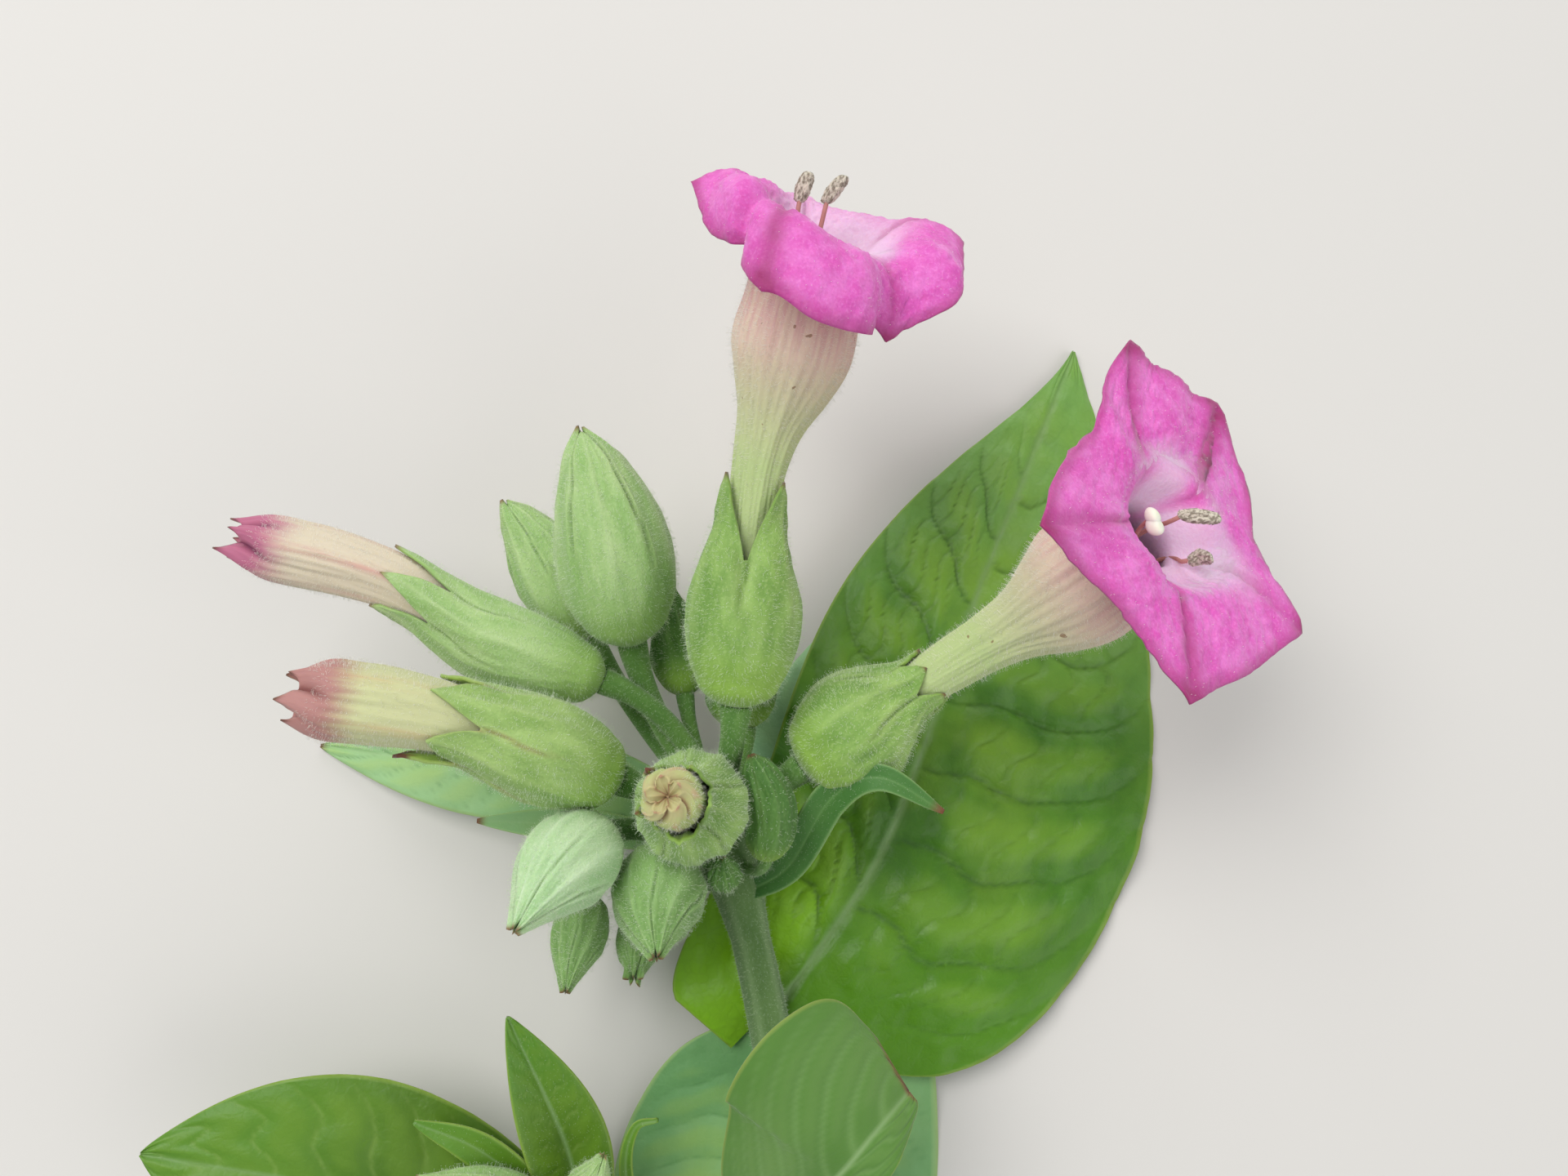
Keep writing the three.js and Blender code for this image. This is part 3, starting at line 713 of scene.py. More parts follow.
@dataclass(frozen=True)
class LeafFinish(Finish):
    """A leaf: blotched green with veins, a pale midrib and a pale rim.

    Args:
        base: the usual colour.
        light: its lighter clouds.
        blotch: its yellow patches.
        blotched: how much of them shows.
        vein: the side veins; where darker than the blade, also painted shade in their grooves.
        veined: how much of them shows.
        midrib: the midrib.
        rim: the edge.
        high: painted sheen, a lighter and greyer green over the half towards the tip.
        low: the base's own yellower green, which also lifts the shaded base as painted light.
        lowed: how much of the base's colour and of the painted light on its left corner shows.
        painted_corner_light: painted light on the left corner of the base, where the stem and buds cast
            shade.
        point: the dry tip.
    """

    base: str = "#3b6c13"
    light: str = "#508321"
    blotch: str = "#83ac35"
    blotched: float = 0.7
    vein: str = "#2a5614"
    veined: float = 0.6
    midrib: str = "#7f9f62"
    rim: str = "#91ab4c"
    high: str = "#5d8f2c"
    low: str = "#568a12"
    lowed: float = 0.0
    painted_corner_light: str = "#93cc22"
    point: str = "#7a4a33"
    CLOUDS = (0.1, 0.1, 0.07)
    PATCHES = (0.06, 0.06, 0.06)
    CELLS = (0.9, 0.9, 0.9)
    BUMPS = (1.0, 1.0, 1.0)
    RELIEF = 0.14

    def paint(self, shader: Shader) -> None:
        """Mixes blotches, net, veins, midrib, rim, point and painted sheen, light and shade."""
        along, net = shader.mark("along"), shader.mark("net") * self.veined
        clouds = shader.noise(self.CLOUDS, 4.0)
        fine = 1.0 - shader.cells(self.CELLS).step(0.0, 0.2)
        patches = shader.noise(self.PATCHES, 3.0).step(0.4, 0.64)
        inward = (0.2 + shader.mark("middle") * 0.8) * (0.35 + along.step(0.05, 0.35) * 0.65)
        shader.surface(shader.layers(self.base, (
            (clouds.step(0.36, 0.66), self.light),
            # Painted sheen: the blade grows lighter and greyer towards the tip.
            (along.step(0.4, 0.85) * 0.75, self.high),
            # Painted light: a lighter green at the base, brightest on its shaded left corner.
            ((1.0 - along.step(0.06, 0.3)) * self.lowed, self.low),
            (shader.mark("glow") * self.lowed, self.painted_corner_light),
            (patches * inward * self.blotched, self.blotch),
            (fine * 0.08, self.light),
            # Net and side veins: their own colour, and where darker also painted shade in their
            # grooves.
            (net * 0.4, self.vein),
            (shader.mark("band") * (0.1 + clouds * 0.45), self.blotch),
            (shader.mark("vein") * self.veined, self.vein),
            (shader.mark("rib") * 0.85, self.midrib),
            (shader.mark("rim") * 0.8, self.rim),
            (shader.mark("point"), self.point),
        )))
        shader.relief(shader.noise(self.BUMPS, 3.0) * 0.6 - net * 0.6 - fine * 0.08, self.RELIEF)


@dataclass(frozen=True)
class GrainFinish(Finish):
    """A powdery skin of fine light and dark grains, for anthers.

    Args:
        dark: the colour between the grains.
        light: the grains.
    """

    dark: str = "#8b8271"
    light: str = "#d6cfbb"
    GRAIN = (4.0, 4.0, 2.0)
    RELIEF = 0.1

    def paint(self, shader: Shader) -> None:
        """Mixes the grains."""
        grain = shader.noise(self.GRAIN, 2.0)
        shader.surface(shader.blend(grain.step(0.38, 0.62), self.dark, self.light))
        shader.relief(grain, self.RELIEF)


STEM_SKIN = DownyFinish(
    "downy_stem", 0.75, 0.2, 0.25, base="#6b8b4e", deep="#527538", pale="#8fa877", foot="#cdd9a8",
    seam="#4a6836",
)
STALK_SKIN = DownyFinish(
    "downy_stalk", 0.75, 0.2, 0.2, base="#6d9645", deep="#527c33", pale="#95b375", foot="#6d9645",
    seam="#45682b",
)
CALYX_SKIN = DownyFinish("downy_calyx", 0.7, 0.25, 0.2)
BUD_SKIN = DownyFinish(
    "downy_bud", 0.7, 0.25, 0.2, base="#adc986", deep="#8eb467", pale="#cddcab", foot="#93b955",
    seam="#64843c", point="#7d5a3a",
)
# A lighter copy of the bud skin: painted light for the front bud, which faces the light.
PAINTED_LIGHT_BUD_SKIN = DownyFinish(
    "bud_painted_lighter", 0.7, 0.25, 0.2, base="#c2dcab", deep="#a2c98b", pale="#e0eed2", foot="#a6c96c",
    seam="#64843c", point="#7d5a3a",
)
# A darker copy of the bud skin: painted shade for buds that face down, away from the light.
PAINTED_SHADE_BUD_SKIN = DownyFinish(
    "bud_painted_darker", 0.7, 0.25, 0.2, base="#92b86e", deep="#739a50", pale="#bcd49e", foot="#86ad50",
    seam="#4f7030",
)
MARGINED_SKIN = DownyFinish(
    "margined_calyx", 0.7, 0.25, 0.2, base="#a8c575", deep="#80a351", seam="#a07a58",
)
SHADED_BUD_SKIN = DownyFinish(
    "shaded_bud", 0.7, 0.25, 0.1, base="#638e40", deep="#45702b", pale="#84a863",
)
# The big leaf's high colour is painted sheen at the tip; lowed adds painted light at its base.
BIG_LEAF = LeafFinish("big_leaf", 0.42, 0.2, high="#82b05a", lowed=0.85, veined=0.5)
BACK_LEAF = LeafFinish(
    "back_leaf", 0.55, 0.2, base="#8dbd8a", light="#9fcb97", blotch="#a9cf8c", vein="#79ab78",
    veined=0.3, rim="#a9cf9a", high="#9fcb97",
)
PALE_LEAF = LeafFinish(
    "pale_leaf", 0.55, 0.2, base="#7fae6e", light="#98c184", blotch="#a6c268", vein="#628f52",
    veined=0.5, midrib="#a3c58c", rim="#a8c47e", high="#9cc48c",
)
UNDER_LEAF = LeafFinish(
    "under_leaf", 0.55, 0.2, base="#6b9f60", light="#80b072", blotch="#98ba58", vein="#558a4a",
    veined=0.5, midrib="#a3c58c", rim="#a8c47e", high="#86b67a",
)
DOWNY_LEAF = LeafFinish(
    "downy_leaf", 0.65, 0.25, 0.2, base="#4a7827", light="#598533", blotch="#6f944a",
    vein="#7fa35e", veined=0.42, rim="#8f9f4a", midrib="#9cb880", high="#598533",
)
SMOOTH_LEAF = LeafFinish(
    "smooth_leaf", 0.45, 0.2, base="#4a7015", light="#5c821f", blotch="#6f932b", vein="#8ba653",
    veined=0.35,
)
BRACT_LEAF = LeafFinish(
    "bract_leaf", 0.55, 0.2, base="#3f7030", light="#54833f", blotch="#628c45", vein="#345f28",
    veined=0.3, high="#4c7c38", midrib="#6b9553", rim="#8bab6c",
)
PINK_PETAL = PetalFinish("pink_petal", 0.6, 0.3, 0.15)
# The furled skins' fold colours are painted shade in the folds and the hollow.
PALE_FURLED = FurledFinish("pale_furled", 0.65, 0.3, 0.1)
BROWN_FURLED = FurledFinish(
    "brown_furled", 0.65, 0.3, 0.1, tube="#ccce9c", under="#b0aa6a", ridge="#cbb98a", tip="#b5827c",
    fold="#7d4642", reach=0.8,
)
YOUNG_FURLED = FurledFinish(
    "young_furled", 0.65, 0.3, 0.1, tube="#b3c47c", under="#a9b56c", ridge="#c98d80", tip="#c3bb85",
    fold="#a07a5c", point="#b0826c", reach=0.9,
)
GREEN_HAIR = PlainFinish("green_hair", 0.5, 0.2, shade="#dfeccb")
PALE_HAIR = PlainFinish("pale_hair", 0.5, 0.2, shade="#f3f0e2")
THREAD_PINK = PlainFinish("thread_pink", 0.6, 0.2, shade="#b98078")
ANTHER_GREY = GrainFinish("anther_grey", 0.9, 0.1)
STIGMA_CREAM = PlainFinish("stigma_cream", 0.5, 0.2, shade="#eeeed8")


@dataclass(frozen=True)
class Down:
    """How thickly hairs grow.

    Args:
        density: hairs to a square millimetre.
        length: their mean length.
        headed: the share of them that ends in a head.
    """

    density: float
    length: float
    headed: float = 0.65


class Hairs:
    """Fine hairs, some with a sticky head, joined into one piece.

    A hair leans at random by LEAN of its length, its length lies between SHORTEST and LONGEST of
    the mean, and its head is HEAD times as wide as its root.
    """

    SIDES = 3
    LEAN = 0.22
    SHORTEST, LONGEST = 0.6, 1.25
    HEAD = 2.6
    HEAD_CORNERS = ((1, 1, 1), (1, -1, -1), (-1, 1, -1), (-1, -1, 1))
    HEAD_FACES = ((0, 1, 2), (0, 2, 3), (0, 3, 1), (1, 3, 2))
    CORNER_DISTANCE = 1.7

    def __init__(self, name: str, seed: int, radius: float = 0.017) -> None:
        """Starts an empty coat.

        Args:
            name: the name of its piece.
            seed: what its random places start from.
            radius: a hair's radius at its root.
        """
        self.piece = Piece(name)
        self.random = np.random.default_rng(seed)
        self.radius = radius

    def grow(self, rings: Rings, down: Down) -> None:
        """Grows hairs on the hairy rows of a ring stack."""
        grid = rings.places[:rings.hairy]
        after = np.roll(grid, -1, axis=1)
        a, b, c, d = grid[:-1], after[:-1], after[1:], grid[1:]
        normal = np.cross(c - a, d - b).reshape(-1, 3)
        area = np.linalg.norm(normal, axis=1) / 2
        count = int(down.density * area.sum())
        cell = self.random.choice(len(area), count, p=area / area.sum())
        u, v = self.random.random((2, count, 1))
        a, b, c, d = (corner.reshape(-1, 3)[cell] for corner in (a, b, c, d))
        root = mix(mix(a, b, u), mix(d, c, u), v)
        lean = self.random.normal(size=(count, 3)) * self.LEAN
        out = unit(unit(normal[cell]) + lean)
        reach = down.length * self.random.uniform(self.SHORTEST, self.LONGEST, (count, 1))
        self._add_cones(root, out, reach)
        chosen = self.random.random(count) < down.headed
        self._add_heads((root + out * reach)[chosen])

    def _add_cones(self, root: Array, out: Array, reach: Array) -> None:
        """Adds one three-sided cone for each hair."""
        count = len(root)
        across = unit(np.cross(out, self.random.normal(size=(count, 3))))
        other = np.cross(out, across)
        angles = 2 * math.pi * np.arange(self.SIDES) / self.SIDES
        ring = [root + (across * math.cos(t) + other * math.sin(t)) * self.radius for t in angles]
        places = np.stack([*ring, root + out * reach], axis=1).reshape(-1, 3)
        first = np.arange(count)[:, None] * (self.SIDES + 1)
        faces = [first + np.array([[k, (k + 1) % self.SIDES, self.SIDES]]) for k in range(self.SIDES)]
        self.piece.add_faces(places, np.concatenate(faces), {})

    def _add_heads(self, at: Array) -> None:
        """Adds one tiny four-sided head at each place."""
        corners = np.array(self.HEAD_CORNERS) * self.radius * self.HEAD / self.CORNER_DISTANCE
        places = (at[:, None] + corners).reshape(-1, 3)
        first = np.arange(len(at))[:, None, None] * len(self.HEAD_CORNERS)
        numbered = (first + np.array(self.HEAD_FACES)).reshape(-1, 3)
        self.piece.add_faces(places, numbered, {})

    def build(self, finish: Finish, slot: str) -> bpy.types.Object:
        """Makes the coat's object."""
        return self.piece.build(finish, slot)


@dataclass
class Coats:
    """The coats of hair that the pieces share, each with its own finish."""

    stems: Hairs = field(default_factory=lambda: Hairs("hairs_on_stems", 11, 0.013))
    calyces: Hairs = field(default_factory=lambda: Hairs("hairs_on_calyces", 12, 0.018))
    buds: Hairs = field(default_factory=lambda: Hairs("hairs_on_buds", 13, 0.018))
    tubes: Hairs = field(default_factory=lambda: Hairs("hairs_on_tubes", 14, 0.017))
    leaves: Hairs = field(default_factory=lambda: Hairs("hairs_on_leaves", 15, 0.01))

    def build(self) -> None:
        """Makes all the coats' objects."""
        self.stems.build(GREEN_HAIR, "stem_green")
        self.calyces.build(GREEN_HAIR, "calyx_green")
        self.buds.build(GREEN_HAIR, "calyx_green")
        self.tubes.build(PALE_HAIR, "corolla_pink")
        self.leaves.build(GREEN_HAIR, "leaf_green")


def around(columns: int) -> tuple[Array, Array, Array]:
    """The columns of a bloom.

    Args:
        columns: how many there are.

    Returns:
        Each column's angle, how near it is to a tip (1) or to a notch (0), and the signed
        distance to the nearest notch, in parts.
    """
    part = np.arange(columns) * PARTS / columns
    within = part % 1
    return part * 2 * math.pi / PARTS, np.abs(2 * within - 1), within - 0.5


def each_part(values: Sequence[float], angle: Array) -> Array:
    """One value for each of the five parts, read all the way round."""
    turns = np.arange(PARTS + 1) * 2 * math.pi / PARTS
    return np.interp(angle, turns, [*values, values[0]])


def stick(route: Route, radius: Array, columns: int, dent: Optional[Array] = None) -> Rings:
    """A round limb along a route.

    Args:
        route: its middle.
        radius: its radius at even steps along the route.
        columns: how many points each ring has.
        dent: rows by columns of millimetres that are added to the radius.

    Returns:
        The limb's rings, with the marks of a downy skin.
    """
    rows = len(radius)
    share = np.linspace(0, 1, rows)[:, None]
    angle = 2 * math.pi * np.arange(columns)[None] / columns
    wide = np.broadcast_to(radius[:, None], (rows, columns)) + (0 if dent is None else dent)
    marks = dict.fromkeys(("rib", "foot", "seam", "point"), 0.0)
    x, y = wide * np.cos(angle), wide * np.sin(angle)
    return Rings.along(route, x, y, share * route.length, marks, rows)


@dataclass
class Stem:
    """The main stem or the side shoot, with faint ribs and a pale cut end.

    Args:
        node: the solid that it stands for.
        path: the places that its middle passes.
        radii: its radius at shares of its length.
        rows: how many rings it has.
        columns: how many points each ring has.
    """

    node: str
    path: Sequence[Place]
    radii: Pairs
    rows: int = 120
    columns: int = 48
    RIBS = 5
    RIB_TURN = 0.7
    RIB_DEPTH = 0.08
    RIB_PALENESS = 0.6
    PITH = (0.04, 0.3, 0.6, 0.84)
    BARK = 0.92
    DOWN = Down(6.0, 0.36, 0.1)

    def route(self) -> Route:
        """The stem's middle line."""
        return Route(self.path, UP)

    def build(self, coats: Coats) -> None:
        """Makes the stem and its down."""
        share = np.linspace(0, 1, self.rows)
        at, radius = zip(*self.radii)
        angle = 2 * math.pi * np.arange(self.columns) / self.columns
        ribs = np.cos(self.RIBS * angle + self.RIB_TURN)
        dent = ribs[None] * self.RIB_DEPTH * np.ones((self.rows, 1))
        rings = stick(self.route(), np.interp(share, at, radius), self.columns, dent)
        rings.marks["rib"] = np.broadcast_to(self.RIB_PALENESS * smooth(ribs, 0.3, 1.0), dent.shape)
        cut = self._cut(rings)
        places = np.concatenate([cut.places, rings.places])
        marks = {name: np.concatenate([cut.marks[name], rings.marks[name]]) for name in rings.marks}
        Piece.dress(f"{self.node}_skin", Rings(places, marks), STEM_SKIN, "stem_green", self.node)
        coats.stems.grow(rings, self.DOWN)

    def _cut(self, rings: Rings) -> Rings:
        """The cut face: rings that widen from its pale pith to its green rim."""
        first = rings.places[:1]
        middle = first.mean(axis=1, keepdims=True)
        shares = np.array([*self.PITH, self.BARK])[:, None, None]
        marks = {name: np.zeros((len(shares), self.columns)) for name in rings.marks}
        marks["straight"] = rings.marks["straight"][:1] * shares
        marks["foot"][:len(self.PITH)] = 1.0
        return Rings(middle + (first - middle) * shares, marks)


@dataclass
class Stalk:
    """A stalk from a stem's middle to a bloom's foot.

    Args:
        node: the solid that it stands for.
        holder: the stem.
        bloom: the bloom's axis.
        root: the share of the stem's length at which it starts.
        radius: the bloom's widest radius.
    """

    node: str
    holder: Route
    bloom: Route
    root: float
    radius: float
    MOST_RADIUS = 1.3
    FOOT_SHARE = 0.25
    BENDS = 9
    ROWS = 40
    COLUMNS = 28
    SWELL_AT_BLOOM, SWELL_AT_STEM = 0.3, 0.25
    DOWN = Down(6.5, 0.42, 0.3)

    def build(self, coats: Coats) -> None:
        """Makes the stalk, a little wider where it meets the bloom, and its down."""
        foot = self.bloom.centre[0]
        forward = self.bloom.forward[0]
        start = self.holder.wrap(0.0, 0.0, self.root * self.holder.length)
        elbow = foot - forward * np.linalg.norm(start - foot) / 2
        t = np.linspace(0, 1, self.BENDS)[:, None]
        line = (1 - t) ** 2 * start + 2 * t * (1 - t) * elbow + t ** 2 * foot
        radius = min(self.MOST_RADIUS, self.radius * self.FOOT_SHARE)
        share = np.linspace(0, 1, self.ROWS)
        swell = 1 + self.SWELL_AT_BLOOM * bump(share - 1, 0.15) + self.SWELL_AT_STEM * bump(share, 0.2)
        rings = stick(Route(line, UP), radius * swell, self.COLUMNS)
        Piece.dress(f"{self.node}_skin", rings, STALK_SKIN, "stem_green", self.node)
        coats.stems.grow(rings, self.DOWN)


@dataclass
class Cup:
    """A calyx of five teeth, from a wide open cup to a bud whose teeth meet.

    Args:
        node: the solid that it stands for.
        route: its axis.
        radius: its widest radius.
        height: its length up to the teeth's tips.
        turn: degrees that it is turned round its axis.
        profile: the radius as a share of the widest, at shares of the height.
        notch: the height of the notches, as a share of the teeth's.
        keel: how far the teeth's margins stand out where they meet.
        curls: how far each tooth's tip bends outward.
        teeth: each tooth's height, as a share of the cup's.
        front: how much wider the teeth nearest the camera's side are than those behind.
        brown: how much of the teeth's tips is dry.
        finish: its skin.
        down: hairs to a square millimetre.
        hair: the hairs' mean length.
        crumple: how deep its random folds are.
    """

    node: str
    route: Route
    radius: float
    height: float
    turn: float
    profile: Pairs
    notch: float
    keel: float = 0.0
    curls: Sequence[float] = (0.1, 0.0, 0.2, 0.1, 0.3)
    teeth: Sequence[float] = (1.0, 1.0, 1.0, 1.0, 1.0)
    front: float = 0.0
    brown: float = 0.035
    finish: Finish = CALYX_SKIN
    down: float = 5.5
    hair: float = 0.5
    crumple: float = 0.07
    ROWS = 60
    INNER_ROWS = 18
    COLUMNS = 95
    WALL = 0.35
    RIB_HEIGHT = 0.16
    RIB_WIDTH = 0.12
    GROOVES = 10
    TOOTH_SHAPE = 0.65
    ROWS_TO_FOOT = 0.9
    FOLD_DEPTH = 0.07
    SEAM_WIDTH = 0.035
    LEAST_RADIUS = 0.12

    def shape(self) -> Rings:
        """The cup's rings: up its outside, over the rim and down its inside."""
        angle, tip, beside = around(self.COLUMNS)
        up = np.linspace(0, 1, self.ROWS) ** self.ROWS_TO_FOOT
        down = np.linspace(1, CALYX_FLOOR, self.INNER_ROWS)
        share = np.concatenate([up, down])[:, None]
        inner = np.concatenate([np.zeros(self.ROWS), np.ones(self.INNER_ROWS)])[:, None]
        rim = mix(self.notch, each_part(self.teeth, angle), tip ** self.TOOTH_SHAPE)[None]
        z = share * self.height * mix(1.0, rim, share)
        rib = bump(1 - tip, self.RIB_WIDTH)[None]
        wide = self.radius * rounded(self.profile, share) * np.ones_like(z)
        wide += self.RIB_HEIGHT * rib * smooth(share, 0.05, 0.3)
        grooves = np.cos(self.GROOVES * angle + 3 * share) * smooth(share, 0.1, 0.4)
        wide += self.RIB_HEIGHT * 0.6 * grooves
        which = np.floor(angle * PARTS / (2 * math.pi))
        wavy = beside[None] + 0.035 * np.sin(13 * share + 5 * which)
        raised = smooth(share, 0.2, 0.65) * (bump(wavy, 0.12) - 0.9 * bump(wavy, 0.03))
        wide += self.keel * raised + self._folds(angle, share) * smooth(share, 0.0, 0.2)
        wide += each_part(self.curls, angle)[None] * smooth(share, 0.75, 1.0) ** 2 * tip[None]
        wide = np.maximum(wide - inner * self.WALL, self.LEAST_RADIUS)
        turned = angle[None] + math.radians(self.turn)
        turned = turned - self.front * np.cos(turned)
        seam = bump(wavy, self.SEAM_WIDTH) * smooth(share, 0.35, 0.65)
        margin = np.clip(bump(wavy, 0.1) - seam, 0, 1) * smooth(share, 0.4, 0.7) * 0.6
        edge = bump((1 - share) * self.height, 0.35)
        marks = {
            "rib": (0.45 * rib * smooth(share, 0.1, 0.5) + margin) * (1 - inner),
            "foot": np.maximum(1 - smooth(share, 0.05, 0.35), inner),
            "seam": np.clip(seam + edge * 0.25 * (tip < 0.9)[None], 0, 1),
            "point": smooth(z, (1 - self.brown) * self.height, self.height),
        }
        x, y = wide * np.cos(turned), wide * np.sin(turned)
        return Rings.along(self.route, x, y, z, marks, self.ROWS - 1)

    def _folds(self, angle: Array, share: Array) -> Array:
        """Its fine folds, and coarse ones as deep as it is crumpled."""
        turn = angle / (2 * math.pi)
        fine = self.FOLD_DEPTH * crinkle(turn, share, 7, 0.5)
        return fine + (self.crumple - self.FOLD_DEPTH) * crinkle(turn, share, 21, 0.2, 12)

    def build(self, coat: Hairs) -> None:
        """Makes the cup and its down."""
        rings = self.shape()
        Piece.dress(f"{self.node}_cup", rings, self.finish, "calyx_green", self.node)
        coat.grow(rings, Down(self.down, self.hair))


def calyx_profile(mouth: float) -> Pairs:
    """An open calyx's radius, which narrows smoothly from its middle to its mouth."""
    neck = [(share, mix(1.0, mouth, float(smooth(share, 0.48, 0.92)))) for share in CALYX_NECK]
    return (*CALYX_BODY, *neck)


@dataclass
class Furled:
    """The furled corolla of an opening bud: a ridged tube and five pointed, folded lobes.

    Args:
        node: the solid that it stands for.
        route: its axis.
        radius: its widest radius.
        calyx_length: the length of its calyx, whose floor it starts above.
        turn: degrees that it is turned round its axis.
        finish: its skin.
        lean: how far its end is shifted to the side and to the front.
        twist: how far its closing lobes are turned, in radians.
        depth: the share of its length at which the hollow between its lobes ends.
        notch: the share of its length at which its lobes part.
    """

    node: str
    route: Route
    radius: float
    calyx_length: float
    turn: float
    finish: Finish
    lean: tuple[float, float] = (0.0, 0.0)
    twist: float = 0.35
    depth: float = 0.82
    notch: float = 0.955
    ROWS = 90
    INNER_ROWS = 20
    COLUMNS = 120
    RIDGE = 0.055
    RIDGE_WIDTH = 0.25
    FOLD_DEPTH = 0.07
    HOLLOW_RADIUS = 0.15
    DOWN = Down(8.0, 0.42, 0.3)

    def shape(self) -> Rings:
        """The rings, up the outside and then down between the lobes."""
        angle, tip, beside = around(self.COLUMNS)
        start = CALYX_FLOOR * self.calyx_length + GAP
        up = np.linspace(0, 1, self.ROWS)
        down = np.linspace(1, self.depth, self.INNER_ROWS)
        share = np.concatenate([up, down])[:, None]
        inner = np.concatenate([np.zeros(self.ROWS), np.linspace(0.15, 1, self.INNER_ROWS)])[:, None]
        uneven = 0.012 * np.sin(3 * angle + 1.3)[None]
        rim = mix(self.notch, 1.0, tip[None] ** 2) + uneven
        z = mix(start, self.route.length, share) * mix(1.0, rim, share ** 6)
        wide = self.radius * rounded(FURLED_PROFILE, share) * np.ones_like(z)
        wide *= 1 + self.RIDGE * (2 * tip[None] - 1) * smooth(share, 0.2, 0.6)
        folds = crinkle(angle / (2 * math.pi), share, 12, 0.4)
        wide += self.FOLD_DEPTH * folds * smooth(share, 0.3, 0.8)
        closing = smooth(share, 0.86, 1.0)
        wide *= 1 - closing * (0.12 + 0.3 * bump(beside, 0.12))[None]
        wide = mix(wide, self.HOLLOW_RADIUS, smooth(inner, 0.0, 1.0))
        turned = angle[None] + math.radians(self.turn) + self.twist * closing * (1 + inner)
        x = wide * np.cos(turned) + self.lean[0] * share ** 2
        y = wide * np.sin(turned) + self.lean[1] * share ** 2
        ridge = bump(1 - tip, self.RIDGE_WIDTH)[None]
        between = bump(beside, 0.08)[None] * smooth(share, 0.84, 0.95)
        marks = {
            "along": share,
            "rib": ridge * smooth(share, 0.3, 0.7),
            "under": smooth(-np.sin(turned), -0.2, 0.8) * (1 - smooth(share, 0.8, 0.95)),
            # The seam mark is painted shade in the folds between the lobes and in the hollow.
            "seam": np.clip(between + 0.8 * smooth(inner, 0.4, 1), 0, 1),
            "point": smooth(share, 0.985, 1.0) * ridge * (1 - inner),
        }
        return Rings.along(self.route, x, y, z, marks, self.ROWS - 6)

    def build(self, coat: Hairs) -> None:
        """Makes the corolla and its down."""
        rings = self.shape()
        Piece.dress(f"{self.node}_petals", rings, self.finish, "furled_pale", self.node)
        coat.grow(rings, self.DOWN)


